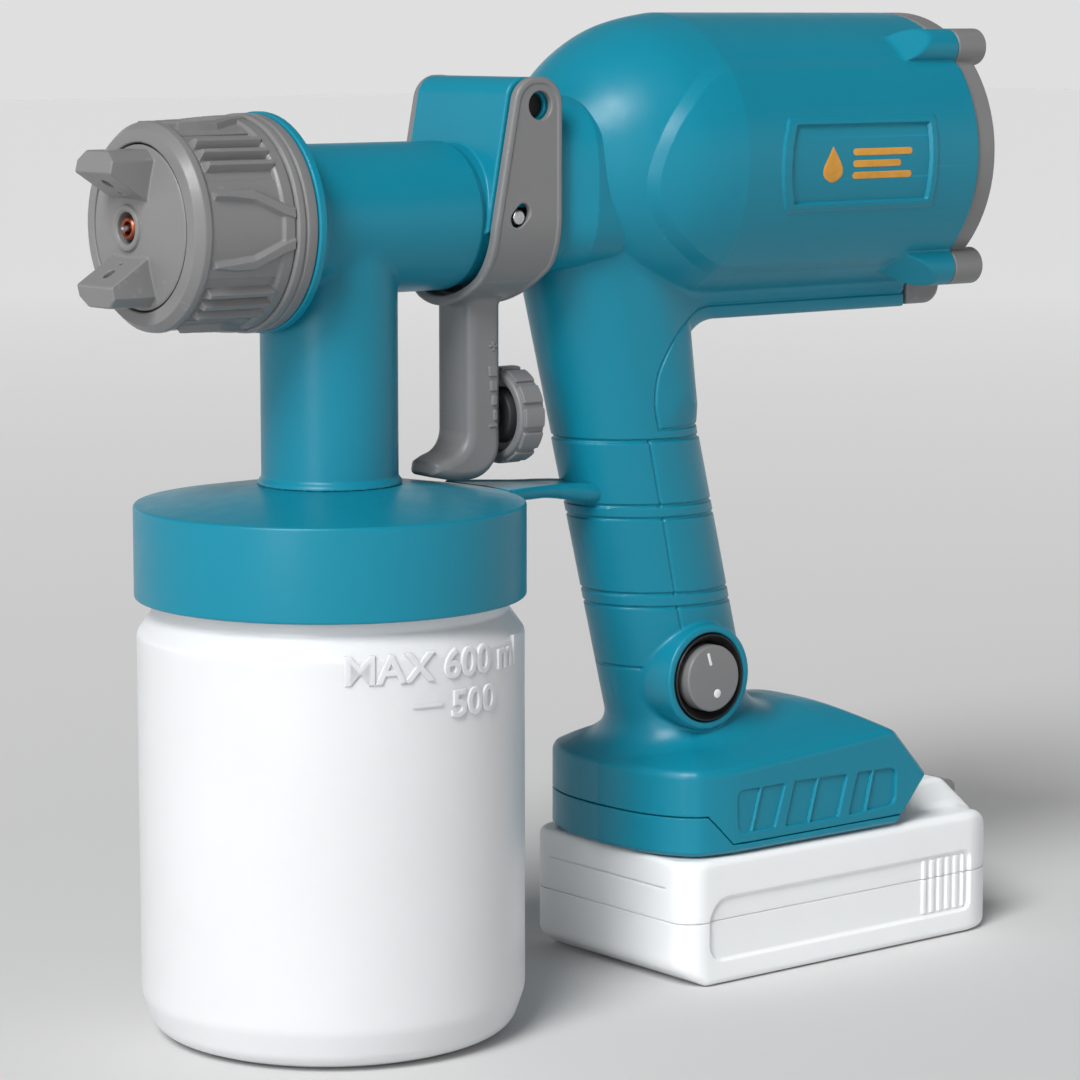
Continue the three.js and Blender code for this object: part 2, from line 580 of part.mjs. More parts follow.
// ---------------------------------------------------------------- rear cover and blower
function rearCover() {
  const ring = turned(closed([
    [BARREL_END + GAP, 33.6], [BARREL_END + GAP, BARREL_R], [COVER_END - 0.8, BARREL_R],
    [COVER_END, BARREL_R - 0.8], [COVER_END, 4], [COVER_END - 2.6, 4], [COVER_END - 2.6, 33.6],
  ]), BARREL_Z, 32);
  const lobes = [];
  const bores = [];
  for (const side of [-1, 1]) {
    for (const level of [-1, 1]) {
      lobes.push(bossAt(side, level, BARREL_END + GAP, BOSS_END, 4.9));
      bores.push(bossAt(side, level, BARREL_END - 1, 200, 2.1, 8));
      bores.push(bossAt(side, level, 191.4, 200, 3.6, 8));
    }
  }
  const tab = slabX(roundedBox(-12, 12, 170.6, 182, 2), BARREL_END + GAP, 197);
  const hollow = rodX(BARREL_END - 1, COVER_END - 2.6, 33.6, BARREL_Z, 0, 24);
  const slots = Array.from({ length: 10 }, (_, i) => {
    const slot = new THREE.BoxGeometry(12, 4.6, 17);
    slot.translate(COVER_END, 0, 20);
    slot.rotateX((2 * Math.PI * i) / 10);
    slot.translate(0, 0, BARREL_Z);
    return solid(slot);
  });
  const body = cut(joined([ring, ...lobes, tab]), [hollow, ...slots, ...bores]);
  piece('rear_cover', body, GREY);
  let number = 1;
  for (const side of [-1, 1]) {
    for (const level of [-1, 1]) {
      const screw = joined([bossAt(side, level, 172, 192.5, 1.7, 8), bossAt(side, level, 191.7, 193.9, 3.2, 8)]);
      piece(`cover_screw_${number}`, screw, STEEL);
      number += 1;
    }
  }
  piece('air_filter', rodX(179, 185.5, 32.8, BARREL_Z, 0, 24), FOAM);
}

function blower() {
  const z = BARREL_Z;
  const shroud = turned(closed([
    [140, 8], [140, 32.6], [176, 32.6], [176, 14], [173.6, 14], [173.6, 30.4], [143, 30.4], [143, 8],
  ]), z);
  const outlets = Array.from({ length: 6 }, (_, i) => {
    const angle = (Math.PI * (2 * i + 1)) / 6;
    return rodX(139, 144, 3.8, z + 26 * Math.sin(angle), 26 * Math.cos(angle), 8);
  });
  piece('blower_shroud', cut(shroud, outlets), DARK);
  const can = turned([[98, 0], [98, 17], [100, 21.5], [137, 21.5], [139.6, 16], [139.6, 0]], z, 20);
  piece('motor_can', cut(can, [rodX(97, 141, 2.9, z, 0, 12)]), STEEL);
  piece('motor_shaft', rodX(94, 170, 2.4, z, 0, 12), STEEL);
  const plate = ringX(166, 168, 2.8, 28, z);
  const hub = ringX(154, 168, 2.8, 6.4, z, 12);
  const vanes = Array.from({ length: 9 }, (_, i) => {
    const vane = new THREE.BoxGeometry(11, 1.4, 20);
    vane.translate(161, 0, 0);
    vane.rotateX(0.5);
    vane.translate(0, 0, 17.2);
    vane.rotateX((2 * Math.PI * i) / 9);
    vane.translate(0, 0, z);
    return solid(vane);
  });
  const wheel = cut(joined([plate, hub, ...vanes]), [rodX(150, 172, 2.75, z, 0, 12)]);
  piece('blower_wheel', wheel, DARK);
  const mount = ringX(112, 119, 21.9, 25.2, z);
  const feet = [0, 1, 2, 3].map((i) => {
    const foot = new THREE.BoxGeometry(7, 9, 9.6);
    foot.translate(115.5, 0, 28.6);
    foot.rotateX(Math.PI / 4 + (Math.PI * i) / 2);
    foot.translate(0, 0, z);
    return solid(foot);
  });
  piece('motor_mount', joined([mount, ...feet]), BLACK);
}

// ---------------------------------------------------------------- switch and electrics
function controls() {
  const y = SWITCH_FACE;
  const bezel = rodY(SWITCH_X, SWITCH_Z, 11.4, y - 0.9, -6, 20);
  const well = rodY(SWITCH_X, SWITCH_Z, 9.2, y - 3, y + 5.5, 20);
  piece('switch_body', cut(bezel, [well]), BLACK);
  const lens = rodY(SWITCH_X, SWITCH_Z, 8.7, y - 1.9, y + 2.6, 20);
  piece('switch_rocker', lens, GREY);
  const board = new THREE.BoxGeometry(20, 1.6, 34);
  board.rotateY(Math.atan(HANDLE_RAKE) * -1);
  board.translate(handleX(128), 7, 128);
  piece('circuit_board', solid(board), BOARD);
  const route = (side) => [
    [112, side, 52], [107, side, 70], [100, side, 96], [93, side, 124], [86, side, 152], [84, side, 176],
    [88, side, 196], [97.4, side, 205],
  ];
  piece('wire_positive', wire(route(2.5), 1.1, 14, 6), RED);
  piece('wire_negative', wire(route(-2.5), 1.1, 14, 6), BLACK);
  piece('terminal_block', box(104, 122, -12, 12, 43.4, 51), BLACK);
}

// ---------------------------------------------------------------- battery
function batteryPlan(margin, front = BATTERY_FRONT) {
  const m = margin;
  const half = BATTERY_SIDE + m;
  return rounded([
    [front - m, -half, 10], [BATTERY_REAR + m, -half, 14], [BATTERY_REAR + m, half, 14], [front - m, half, 10],
  ]);
}

function battery() {
  const side = rounded([
    [98, 0, 3], [BATTERY_REAR, 0, 6], [BATTERY_REAR, BATTERY_TOP, 8], [BATTERY_FRONT, BATTERY_TOP, 2],
    [BATTERY_FRONT, 4, 1],
  ]);
  const block = slabZ(batteryPlan(0), 0, BATTERY_TOP, 6).intersect(slabY(side, -40, 40));
  const deck = slabZ(roundedBox(94, 172, -21, 21, 3), BATTERY_TOP - 2, 42, 3);
  const hump = slabY(rounded([
    [178, 30], [178, 41.4, 3], [192, 41.4, 6], [203, 30, 3],
  ]), -21, 21);
  const cavity = slabZ(batteryPlan(-2.2, BATTERY_FRONT + 2), 2.2, BATTERY_TOP - 2.2, 6);
  const deckCavity = slabZ(roundedBox(96, 170, -17.9, 17.9, 2), BATTERY_TOP - 6, 39.8, 3);
  const grooves = [-1, 1].map((s) => box(97, 189, s * 32.6 - 0.9, s * 32.6 + 0.9, 6.5, 22.5));
  const button = slabX(roundedBox(-11, 11, 27.4, 37, 2), 196.5, 206.5, 3);
  const pocket = slabX(roundedBox(-11.4, 11.4, 27, 44, 2), 192.5, 210, 3);
  const railWays = [-1, 1].map((s) => box(80, 162, 25.2 * s - 6.3, 25.2 * s + 6.3, 33.4, 36.9));
  const pack = cut(joined([block, deck, hump]), [cavity, deckCavity, pocket, ...grooves, ...railWays]);
  const low = pack.intersect(box(60, 240, -60, 60, -5, BATTERY_SPLIT - 0.15));
  const high = pack.intersect(box(60, 240, -60, 60, BATTERY_SPLIT + 0.15, 60));
  piece('battery_tray', low, BATTERY_WHITE);
  piece('battery_cover', high, BATTERY_WHITE);
  piece('battery_release_button', button, GREY);
  const cells = [[-19, 11.6], [0, 11.6], [19, 11.6], [-9.2, 27.9], [9.2, 27.9]];
  cells.forEach(([y, z], i) => {
    piece(`battery_cell_${i + 1}`, rodX(100, 100 + CELL_LENGTH, CELL_R, z, y), CELL);
  });
}

cup();
lid();
pickupTube();
sprayHead();
fluidTube();
needleAssembly();
nozzleEnd();
trigger();
flowKnob();
housing();
baseFrame();
housingScrews();
lidArm();
rearCover();
blower();
controls();
battery();

export default gun;
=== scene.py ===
"""Looks for the cordless paint sprayer: detailed pieces, materials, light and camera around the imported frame.

Shapes are described in millimetres as distance fields, in the frame's own axes: +X is the rear of the
gun, the switch is on the -Y side and +Z is up. Blender's units are metres.
"""

import json
import math

import bmesh
import bpy
import numpy as np
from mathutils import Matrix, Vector


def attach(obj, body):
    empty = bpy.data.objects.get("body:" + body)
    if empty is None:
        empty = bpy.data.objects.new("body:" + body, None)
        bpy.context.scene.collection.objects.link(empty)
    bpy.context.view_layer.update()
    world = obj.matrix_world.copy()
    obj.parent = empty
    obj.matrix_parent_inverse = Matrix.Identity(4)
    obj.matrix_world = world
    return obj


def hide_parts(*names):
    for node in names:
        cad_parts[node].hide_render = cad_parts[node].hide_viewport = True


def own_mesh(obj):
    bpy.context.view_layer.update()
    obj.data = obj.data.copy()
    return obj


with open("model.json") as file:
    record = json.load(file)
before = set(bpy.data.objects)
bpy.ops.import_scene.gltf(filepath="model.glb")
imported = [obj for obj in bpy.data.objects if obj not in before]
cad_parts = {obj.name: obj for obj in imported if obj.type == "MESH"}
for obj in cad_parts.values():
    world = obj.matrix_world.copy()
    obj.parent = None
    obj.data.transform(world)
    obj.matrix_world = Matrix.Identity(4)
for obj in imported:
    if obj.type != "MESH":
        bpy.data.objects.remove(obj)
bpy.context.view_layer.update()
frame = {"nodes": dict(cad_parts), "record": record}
MM = 0.001

# ---------------------------------------------------------------- shared dimensions, in millimetres
TUBE_Z = 199.8
BARREL_Z = 212.6
BARREL_R = 36.9
BARREL_START = 103.0
BARREL_END = 184.2
COVER_END = 191.5
WALL = 2.4
SEAM = 0.03
BOSSES = [(-25.0, 182.2), (-25.0, 240.4), (25.0, 182.2), (25.0, 240.4)]
BOSS_R = 4.9
PANEL_RISE = 0.95
FRAME_RISE = 0.5
EMBLEM_SINK = 1.0
CUP_R = 47.5
LID_R = 48.0
BASE_HALF = 32.4
SCREW_POST_R = 3.9
SCREW_HEAD_BORE = 3.1
SCREW_SHANK_BORE = 1.9
SWITCH_X = 106.4
SWITCH_Z = 78.4
SWITCH_FACE = -19.8
KNOB_Z = 149.0
PIVOT_X = 49.3
PIVOT_Z = 226.9
PIN_X = 42.8


def handle_x(z):
    return 104.3 - 0.25 * (z - 100.0)


# ---------------------------------------------------------------- distance field tools
def box1(u, low, high):
    return np.abs(u - (low + high) / 2) - (high - low) / 2


def rect(u, v, u0, u1, v0, v1, r=0.0):
    a = box1(u, u0, u1) + r
    b = box1(v, v0, v1) + r
    return np.minimum(np.maximum(a, b), 0) + np.hypot(np.maximum(a, 0), np.maximum(b, 0)) - r


def ellipse(u, v, a, b):
    k0 = np.hypot(u / a, v / b)
    k1 = np.hypot(u / (a * a), v / (b * b)) + 1e-9
    return k0 * (k0 - 1) / k1


def union(a, b, r=0.0):
    if r <= 0:
        return np.minimum(a, b)
    return np.maximum(r, np.minimum(a, b)) - np.hypot(np.maximum(r - a, 0), np.maximum(r - b, 0))


def both(a, b, r=0.0):
    """Intersection, with its outer edge rounded."""
    if r <= 0:
        return np.maximum(a, b)
    return np.minimum(-r, np.maximum(a, b)) + np.hypot(np.maximum(r + a, 0), np.maximum(r + b, 0))


def less(a, b, r=0.0):
    """a with b taken away, with the rim rounded."""
    return both(a, -b, r)


def ramp(t):
    t = np.clip(t, 0, 1)
    return t * t * (3 - 2 * t)


def smooth_line(points, step=0.6):
    """Catmull-Rom curve through the points, as an array of closely spaced points."""
    p = np.array(points, float)
    ends = np.vstack([2 * p[0] - p[1], p, 2 * p[-1] - p[-2]])
    out = []
    for i in range(len(p) - 1):
        a, b, c, d = ends[i:i + 4]
        n = max(2, int(np.linalg.norm(c - b) / step))
        t = np.linspace(0, 1, n, endpoint=False)[:, None]
        out.append(0.5 * (2 * b + (c - a) * t + (2 * a - 5 * b + 4 * c - d) * t ** 2
                          + (3 * b - a - 3 * c + d) * t ** 3))
    return np.vstack(out + [p[-1:]])


def rounded(points, arc=8):
    """Polygon with rounded corners: points are (u, v, radius)."""
    out = []
    n = len(points)
    for i, point in enumerate(points):
        here = np.array(point[:2], float)
        r = point[2] if len(point) > 2 else 0.0
        if r <= 0:
            out.append(here)
            continue
        a = np.array(points[i - 1][:2], float) - here
        b = np.array(points[(i + 1) % n][:2], float) - here
        a /= np.linalg.norm(a)
        b /= np.linalg.norm(b)
        half = math.acos(max(-1.0, min(1.0, float(a @ b)))) / 2
        reach = r / math.tan(half)
        centre = here + (a + b) / np.linalg.norm(a + b) * (r / math.sin(half))
        start = here + a * reach - centre
        end = here + b * reach - centre
        sweep = math.atan2(start[0] * end[1] - start[1] * end[0], float(start @ end))
        for k in range(arc + 1):
            t = sweep * k / arc
            c, s = math.cos(t), math.sin(t)
            out.append(centre + np.array([start[0] * c - start[1] * s, start[0] * s + start[1] * c]))
    return np.array(out)


def grid_over(points, step, margin):
    """Low corner and coordinates of a grid that covers the points with room around them."""
    low = points.min(0) - margin
    count = np.ceil((points.max(0) + margin - low) / step).astype(int) + 1
    u = (low[0] + step * np.arange(count[0]))[:, None] * np.ones((1, count[1]))
    v = (low[1] + step * np.arange(count[1]))[None, :] * np.ones((count[0], 1))
    return low, u, v


class Outline:
    """Distance to a closed polygon, kept on a fine grid so that it is quick to read."""

    def __init__(self, polygon, step=0.3, margin=10.0):
        p = np.array(polygon, float)
        self.step = step
        self.low, u, v = grid_over(p, step, margin)
        u = u.astype(np.float32)
        v = v.astype(np.float32)
        best = np.full(u.shape, 1e9, np.float32)
        sign = np.ones(u.shape, bool)
        for a, b in zip(p, np.roll(p, -1, 0)):
            e = b - a
            length = float(e @ e)
            if length < 1e-12:
                continue
            wu = u - np.float32(a[0])
            wv = v - np.float32(a[1])
            t = np.clip((wu * np.float32(e[0]) + wv * np.float32(e[1])) / np.float32(length), 0, 1)
            best = np.minimum(best, (wu - t * np.float32(e[0])) ** 2 + (wv - t * np.float32(e[1])) ** 2)
            if a[1] != b[1]:
                crosses = (v >= min(a[1], b[1])) & (v < max(a[1], b[1]))
                side = (wu - wv * np.float32(e[0] / e[1])) < 0
                sign ^= crosses & side
        self.grid = np.where(sign, np.sqrt(best), -np.sqrt(best)).astype(np.float32)

    def __call__(self, u, v):
        g = self.grid
        a = (u - self.low[0]) / self.step
        b = (v - self.low[1]) / self.step
        ca = np.clip(a, 0, g.shape[0] - 1.001)
        cb = np.clip(b, 0, g.shape[1] - 1.001)
        i = ca.astype(np.int32)
        j = cb.astype(np.int32)
        fa = ca - i
        fb = cb - j
        flat = g.ravel()
        at = i * g.shape[1] + j
        top = flat[at] * (1 - fb) + flat[at + 1] * fb
        bottom = flat[at + g.shape[1]] * (1 - fb) + flat[at + g.shape[1] + 1] * fb
        beyond = np.hypot(a - ca, b - cb) * self.step
        return top * (1 - fa) + bottom * fa + beyond


# ---------------------------------------------------------------- meshing
CORNERS = np.array([[i, j, k] for i in (0, 1) for j in (0, 1) for k in (0, 1)])
EDGES = [(a, b) for a in range(8) for b in range(a + 1, 8) if np.abs(CORNERS[a] - CORNERS[b]).sum() == 1]
BLOCK = 8


def in_chunks(field, points, size=1_500_000):
    out = np.empty(len(points), np.float32)
    for i in range(0, len(points), size):
        p = points[i:i + size]
        out[i:i + size] = field(p[:, 0], p[:, 1], p[:, 2])
    return out


def sample_grid(field, low, count, cell, slack):
    blocks = -(-count // BLOCK)
    index = np.stack(np.meshgrid(*[np.arange(b) for b in blocks], indexing="ij"), -1).reshape(-1, 3)
    centres = (low + (index * BLOCK + (BLOCK - 1) / 2) * cell).astype(np.float32)
    rough = in_chunks(field, centres)
    near = np.abs(rough) < BLOCK * cell * 0.87 + slack
    values = np.repeat(np.repeat(np.repeat(
        np.where(rough < 0, -99, 99).astype(np.float32).reshape(blocks), BLOCK, 0), BLOCK, 1), BLOCK, 2)
    local = np.stack(np.meshgrid(*[np.arange(BLOCK)] * 3, indexing="ij"), -1).reshape(-1, 3)
    live = index[near]
    for i in range(0, len(live), 2500):
        part = live[i:i + 2500]
        grid = (part[:, None, :] * BLOCK + local[None]).reshape(-1, 3)
        p = (low + grid * cell).astype(np.float32)
        values[grid[:, 0], grid[:, 1], grid[:, 2]] = field(p[:, 0], p[:, 1], p[:, 2])
    return values


def surface_net(field, low, high, cell, slack=1.5):
    """Vertices and quads of the zero surface of a field inside a box."""
    low = np.array(low, float) - 1.5 * cell
    count = np.ceil((np.array(high, float) + 1.5 * cell - low) / cell).astype(int) + 1
    values = sample_grid(field, low, count, cell, slack)
    inside = values < 0
    shape = np.array(inside.shape) - 1
    total = np.zeros(shape, np.int8)
    for i, j, k in CORNERS:
        total += inside[i:shape[0] + i, j:shape[1] + j, k:shape[2] + k]
    cells = np.flatnonzero(((total > 0) & (total < 8)).ravel())
    at = np.stack(np.unravel_index(cells, shape), -1)
    corner = np.stack([values[at[:, 0] + i, at[:, 1] + j, at[:, 2] + k] for i, j, k in CORNERS], -1)
    position = np.zeros((len(at), 3))
    crossings = np.zeros(len(at))
    for a, b in EDGES:
        va, vb = corner[:, a], corner[:, b]
        hit = (va < 0) != (vb < 0)
        t = np.where(hit, va / np.where(hit, va - vb, 1), 0)[:, None]
        point = CORNERS[a] * (1 - t) + CORNERS[b] * t
        position += np.where(hit[:, None], point, 0)
        crossings += hit
    vertices = low + (at + position / crossings[:, None]) * cell
    quads = []
    for axis in range(3):
        first = [slice(None)] * 3
        second = [slice(None)] * 3
        first[axis] = slice(0, -1)
        second[axis] = slice(1, None)
        here = inside[tuple(first)]
        there = inside[tuple(second)]
        edge = np.argwhere(here != there)
        others = [(axis + 1) % 3, (axis + 2) % 3]
        edge = edge[(edge[:, others[0]] > 0) & (edge[:, others[1]] > 0)
                    & (edge[:, others[0]] < shape[others[0]]) & (edge[:, others[1]] < shape[others[1]])]
        around = []
        for du, dv in ((-1, -1), (0, -1), (0, 0), (-1, 0)):
            c = edge.copy()
            c[:, others[0]] += du
            c[:, others[1]] += dv
            around.append(np.searchsorted(cells, np.ravel_multi_index(c.T, shape)))
        quad = np.stack(around, -1)
        flip = ~here[edge[:, 0], edge[:, 1], edge[:, 2]]
        quad[flip] = quad[flip][:, ::-1]
        quads.append(quad)
    return vertices, np.vstack(quads)


def gradient(field, points, h=0.06):
    p = points.astype(np.float32)
    out = np.empty_like(p)
    for axis in range(3):
        a = p.copy()
        b = p.copy()
        a[:, axis] += h
        b[:, axis] -= h
        out[:, axis] = (in_chunks(field, a) - in_chunks(field, b)) / (2 * h)
    return out


def settle(field, points, limit, rounds=3):
    """Moves points onto the zero surface, no further than limit each time."""
    p = points.astype(np.float32)
    for _ in range(rounds):
        g = gradient(field, p)
        d = in_chunks(field, p)
        square = np.maximum((g * g).sum(1), 0.05)
        move = -(d / square)[:, None] * g
        length = np.linalg.norm(move, axis=1, keepdims=True) + 1e-9
        p += move * np.minimum(1, limit / length)
    return p


def in_scene(name, data):
    item = bpy.data.objects.new(name, data)
    bpy.context.scene.collection.objects.link(item)
    return item


def new_object(name, vertices, faces):
    mesh = bpy.data.meshes.new(name)
    faces = faces.tolist() if isinstance(faces, np.ndarray) else faces
    mesh.from_pydata((np.asarray(vertices, float) * MM).tolist(), [], faces)
    mesh.update()
    return in_scene(name, mesh)


def released(edited, name):
    """A new object from a finished bmesh, which is let go."""
    mesh = bpy.data.meshes.new(name)
    edited.to_mesh(mesh)
    edited.free()
    return in_scene(name, mesh)


def ring_faces(base, count, rings):
    """Quads between rings of count points each, numbered from base."""
    return [(base + k * count + i, base + k * count + (i + 1) % count,
             base + (k + 1) * count + (i + 1) % count, base + (k + 1) * count + i)
            for k in range(rings - 1) for i in range(count)]


def add_plaque(vertices, faces, rings):
    """Adds a raised shape made of rings laid from its foot to its face, closed at both ends."""
    base, count = len(vertices), len(rings[0])
    for ring in rings:
        vertices += ring
    faces += ring_faces(base, count, len(rings))
    last = base + (len(rings) - 1) * count
    faces.append(tuple(last + i for i in range(count)))
    faces.append(tuple(base + count - 1 - i for i in range(count)))


def baked(piece):
    """Applies the piece's modifiers to its mesh."""
    graph = bpy.context.evaluated_depsgraph_get()
    mesh = bpy.data.meshes.new_from_object(piece.evaluated_get(graph))
    old = piece.data
    piece.modifiers.clear()
    piece.data = mesh
    bpy.data.meshes.remove(old)
    mesh.name = piece.name
    return piece


def vertex_array(mesh):
    co = np.empty(len(mesh.vertices) * 3, np.float32)
    mesh.vertices.foreach_get("co", co)
    return co.reshape(-1, 3)


def shade(piece, field=None, angle=38.0):
    """Smooth shading: true surface normals where the field is smooth, and flat ones across sharp edges."""
    mesh = piece.data
    mesh.polygons.foreach_set("use_smooth", np.ones(len(mesh.polygons), bool))
    if field is None:
        return piece
    normal = gradient(field, vertex_array(mesh) / MM)
    normal /= np.linalg.norm(normal, axis=1, keepdims=True) + 1e-9
    flat = np.empty(len(mesh.polygons) * 3, np.float32)
    mesh.polygons.foreach_get("normal", flat)
    flat = flat.reshape(-1, 3)
    loops = np.empty(len(mesh.loops), np.int32)
    mesh.loops.foreach_get("vertex_index", loops)
    totals = np.empty(len(mesh.polygons), np.int32)
    mesh.polygons.foreach_get("loop_total", totals)
    face = np.repeat(np.arange(len(totals)), totals)
    own = normal[loops]
    plain = flat[face]
    agree = (own * plain).sum(1) > math.cos(math.radians(angle))
    mesh.normals_split_custom_set(np.where(agree[:, None], own, plain))
    return piece


def carve(name, field, low, high, cell, target=None, slack=1.5):
    """A mesh of the field's surface: netted, thinned where smooth, and settled back onto the surface."""
    vertices, quads = surface_net(field, low, high, cell, slack)
    vertices = settle(field, vertices, cell * 0.6, 2)
    piece = new_object(name, vertices, quads)
    faces = len(quads) * 2
    if target and faces > target:
        thin = piece.modifiers.new("thin", "DECIMATE")
        thin.ratio = target / faces
        baked(piece)
        moved = settle(field, vertex_array(piece.data) / MM, cell * 0.5, 2) * MM
        piece.data.vertices.foreach_set("co", moved.astype(np.float32).ravel())
        piece.data.update()
    return shade(piece, field)


def carve_unit(name, field, body, replaced, slot, low, high, cell, target=None, slack=1.5):
    piece = carve(name, field, low, high, cell, target, slack)
    return place(piece, body, replaced, slot)


def place(piece, body, replaced, slot):
    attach(piece, body)
    if replaced:
        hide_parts(*([replaced] if isinstance(replaced, str) else replaced))
    piece.data.materials.clear()
    piece.data.materials.append(LOOKS[slot]())
    return piece


# ---------------------------------------------------------------- materials
class Nodes:
    """A small hand for building a procedural material."""

    def __init__(self, name):
        self.material = bpy.data.materials.new(name)
        self.material.use_nodes = True
        self.tree = self.material.node_tree
        self.tree.nodes.clear()
        self.out = self.tree.nodes.new("ShaderNodeOutputMaterial")
        self.shader = self.tree.nodes.new("ShaderNodeBsdfPrincipled")
        self.link(self.shader.outputs[0], self.out.inputs[0])
        self.place = self.tree.nodes.new("ShaderNodeTexCoord").outputs["Object"]

    def link(self, a, b):
        self.tree.links.new(a, b)

    def set(self, **values):
        for key, value in values.items():
            self.shader.inputs[key.replace("_", " ")].default_value = value
        return self

    def noise(self, scale, detail=3.0, roughness=0.55, stretch=None):
        node = self.tree.nodes.new("ShaderNodeTexNoise")
        node.inputs["Scale"].default_value = scale
        node.inputs["Detail"].default_value = detail
        node.inputs["Roughness"].default_value = roughness
        source = self.place
        if stretch:
            mapping = self.tree.nodes.new("ShaderNodeMapping")
            mapping.inputs["Scale"].default_value = stretch
            self.link(source, mapping.inputs[0])
            source = mapping.outputs[0]
        self.link(source, node.inputs["Vector"])
        return node.outputs["Fac"]

    def span(self, source, low, high, from_low=0.3, from_high=0.7):
        node = self.tree.nodes.new("ShaderNodeMapRange")
        node.inputs["From Min"].default_value = from_low
        node.inputs["From Max"].default_value = from_high
        node.inputs["To Min"].default_value = low
        node.inputs["To Max"].default_value = high
        self.link(source, node.inputs["Value"])
        return node.outputs[0]

    def mix(self, factor, a, b):
        node = self.tree.nodes.new("ShaderNodeMix")
        node.data_type = "RGBA"
        self.link(factor, node.inputs[0])
        for socket, value in ((node.inputs[6], a), (node.inputs[7], b)):
            if isinstance(value, bpy.types.NodeSocket):
                self.link(value, socket)
            else:
                socket.default_value = (*value, 1)
        return node.outputs[2]

    def bump(self, height, distance, strength=1.0):
        node = self.tree.nodes.new("ShaderNodeBump")
        node.inputs["Strength"].default_value = strength
        node.inputs["Distance"].default_value = distance
        self.link(height, node.inputs["Height"])
        self.link(node.outputs[0], self.shader.inputs["Normal"])

    def colour(self, socket):
        self.link(socket, self.shader.inputs["Base Color"])

    def rough(self, socket):
        self.link(socket, self.shader.inputs["Roughness"])

    def edges(self):
        """How convex the surface is, for the paler polish that handling leaves along edges."""
        return self.tree.nodes.new("ShaderNodeNewGeometry").outputs["Pointiness"]


MADE = {}


def once(make):
    def get():
        if make.__name__ not in MADE:
            MADE[make.__name__] = make().material
        return MADE[make.__name__]
    return get


def moulded(name, base, light, rough, grain=0.00002, wear=0.12, gloss=0.4):
    """Injection-moulded plastic: faint flow marks in the colour, fine spark-eroded grain, polished edges."""
    n = Nodes(name)
    n.set(IOR=1.5, Specular_IOR_Level=gloss)
    flow = n.span(n.noise(22, 4), 0, 1, 0.35, 0.65)
    shaded = n.mix(flow, tuple(c * 0.985 for c in base), tuple(min(1, c * 1.015) for c in base))
    worn = n.span(n.edges(), 0, wear, 0.52, 0.6)
    n.colour(n.mix(worn, shaded, light))
    n.rough(n.span(n.noise(160, 3), rough - 0.035, rough + 0.035))
    n.bump(n.noise(2600, 2, 0.5), grain)
    return n


# Plain plastics: base colour, colour of the worn edges, roughness and gloss.
PLAIN = {
    "teal_moulded": ((0.004, 0.215, 0.315), (0.04, 0.4, 0.52), 0.34, 0.32),
    "grey_moulded": ((0.2, 0.2, 0.203), (0.42, 0.42, 0.42), 0.36, 0.4),
    "dark_moulded": ((0.03, 0.03, 0.033), (0.1, 0.1, 0.1), 0.5, 0.4),
    "black_moulded": ((0.012, 0.011, 0.012), (0.05, 0.05, 0.05), 0.38, 0.4),
    "seal_rubber": ((0.28, 0.28, 0.26), (0.4, 0.4, 0.38), 0.7, 0.4),
    "natural_tube": ((0.82, 0.81, 0.77), (0.9, 0.9, 0.88), 0.45, 0.4),
    "wire_red": ((0.45, 0.02, 0.015), (0.6, 0.1, 0.08), 0.45, 0.4),
    "cell_sleeve": ((0.05, 0.17, 0.34), (0.15, 0.3, 0.5), 0.3, 0.4),
    # Painted shade: a near-black that stands in for the dark inside a recess.
    "painted_recess_shade": ((0.006, 0.006, 0.007), (0.02, 0.02, 0.02), 0.6, 0.4),
}


def plastic(name):
    def get():
        if name not in MADE:
            base, worn, rough, gloss = PLAIN[name]
            MADE[name] = moulded(name, base, worn, rough, gloss=gloss).material
        return MADE[name]
    return get


# Painted shade, for a piece that has to read as the dark of a recess.
shadow = plastic("painted_recess_shade")


@once
def cup_white():
    n = moulded("cup_polyethylene", (0.73, 0.738, 0.752), (0.8, 0.805, 0.81), 0.34, 0.00001, 0.2)
    n.set(Subsurface_Weight=0.35, Subsurface_Scale=0.004, Subsurface_Radius=(1.0, 0.9, 0.8))
    return n


@once
def frosted():
    n = moulded("battery_frosted", (0.91, 0.935, 0.945), (0.95, 0.96, 0.97), 0.42, 0.00001, 0.2)
    n.set(Subsurface_Weight=0.3, Subsurface_Scale=0.004, Subsurface_Radius=(1.0, 1.0, 1.0))
    return n


@once
def foam():
    n = Nodes("filter_foam")
    n.colour(n.mix(n.span(n.noise(900, 2), 0, 1), (0.012, 0.014, 0.017), (0.07, 0.075, 0.085)))
    n.set(Roughness=0.95)
    n.bump(n.noise(1100, 2), 0.0006)
    return n


@once
def board():
    n = Nodes("circuit_board")
    tracks = n.span(n.noise(420, 0, 0.5, (1, 0.2, 1)), 0, 1, 0.5, 0.52)
    n.colour(n.mix(tracks, (0.01, 0.09, 0.04), (0.03, 0.17, 0.07)))
    n.set(Roughness=0.35)
    n.bump(tracks, 0.00003)
    return n


def metal(name, base, rough, stretch):
    """Turned metal: fine tool marks round the axis and a slightly uneven tint."""
    n = Nodes(name)
    n.set(Metallic=1.0)
    marks = n.noise(900, 3, 0.6, stretch)
    n.colour(n.mix(n.span(marks, 0, 1), tuple(c * 0.8 for c in base), base))
    n.rough(n.span(marks, rough - 0.06, rough + 0.1))
    n.bump(marks, 0.00001)
    return n


@once
def steel():
    return metal("turned_steel", (0.62, 0.62, 0.63), 0.28, (4.0, 0.4, 0.4))


@once
def copper():
    return metal("turned_nozzle", (0.42, 0.11, 0.06), 0.36, (4.0, 0.4, 0.4))


@once
def marking():
    n = Nodes("white_print")
    n.colour(n.mix(n.span(n.noise(300), 0, 1), (0.78, 0.79, 0.8), (0.9, 0.9, 0.9)))
    n.set(Roughness=0.5)
    return n


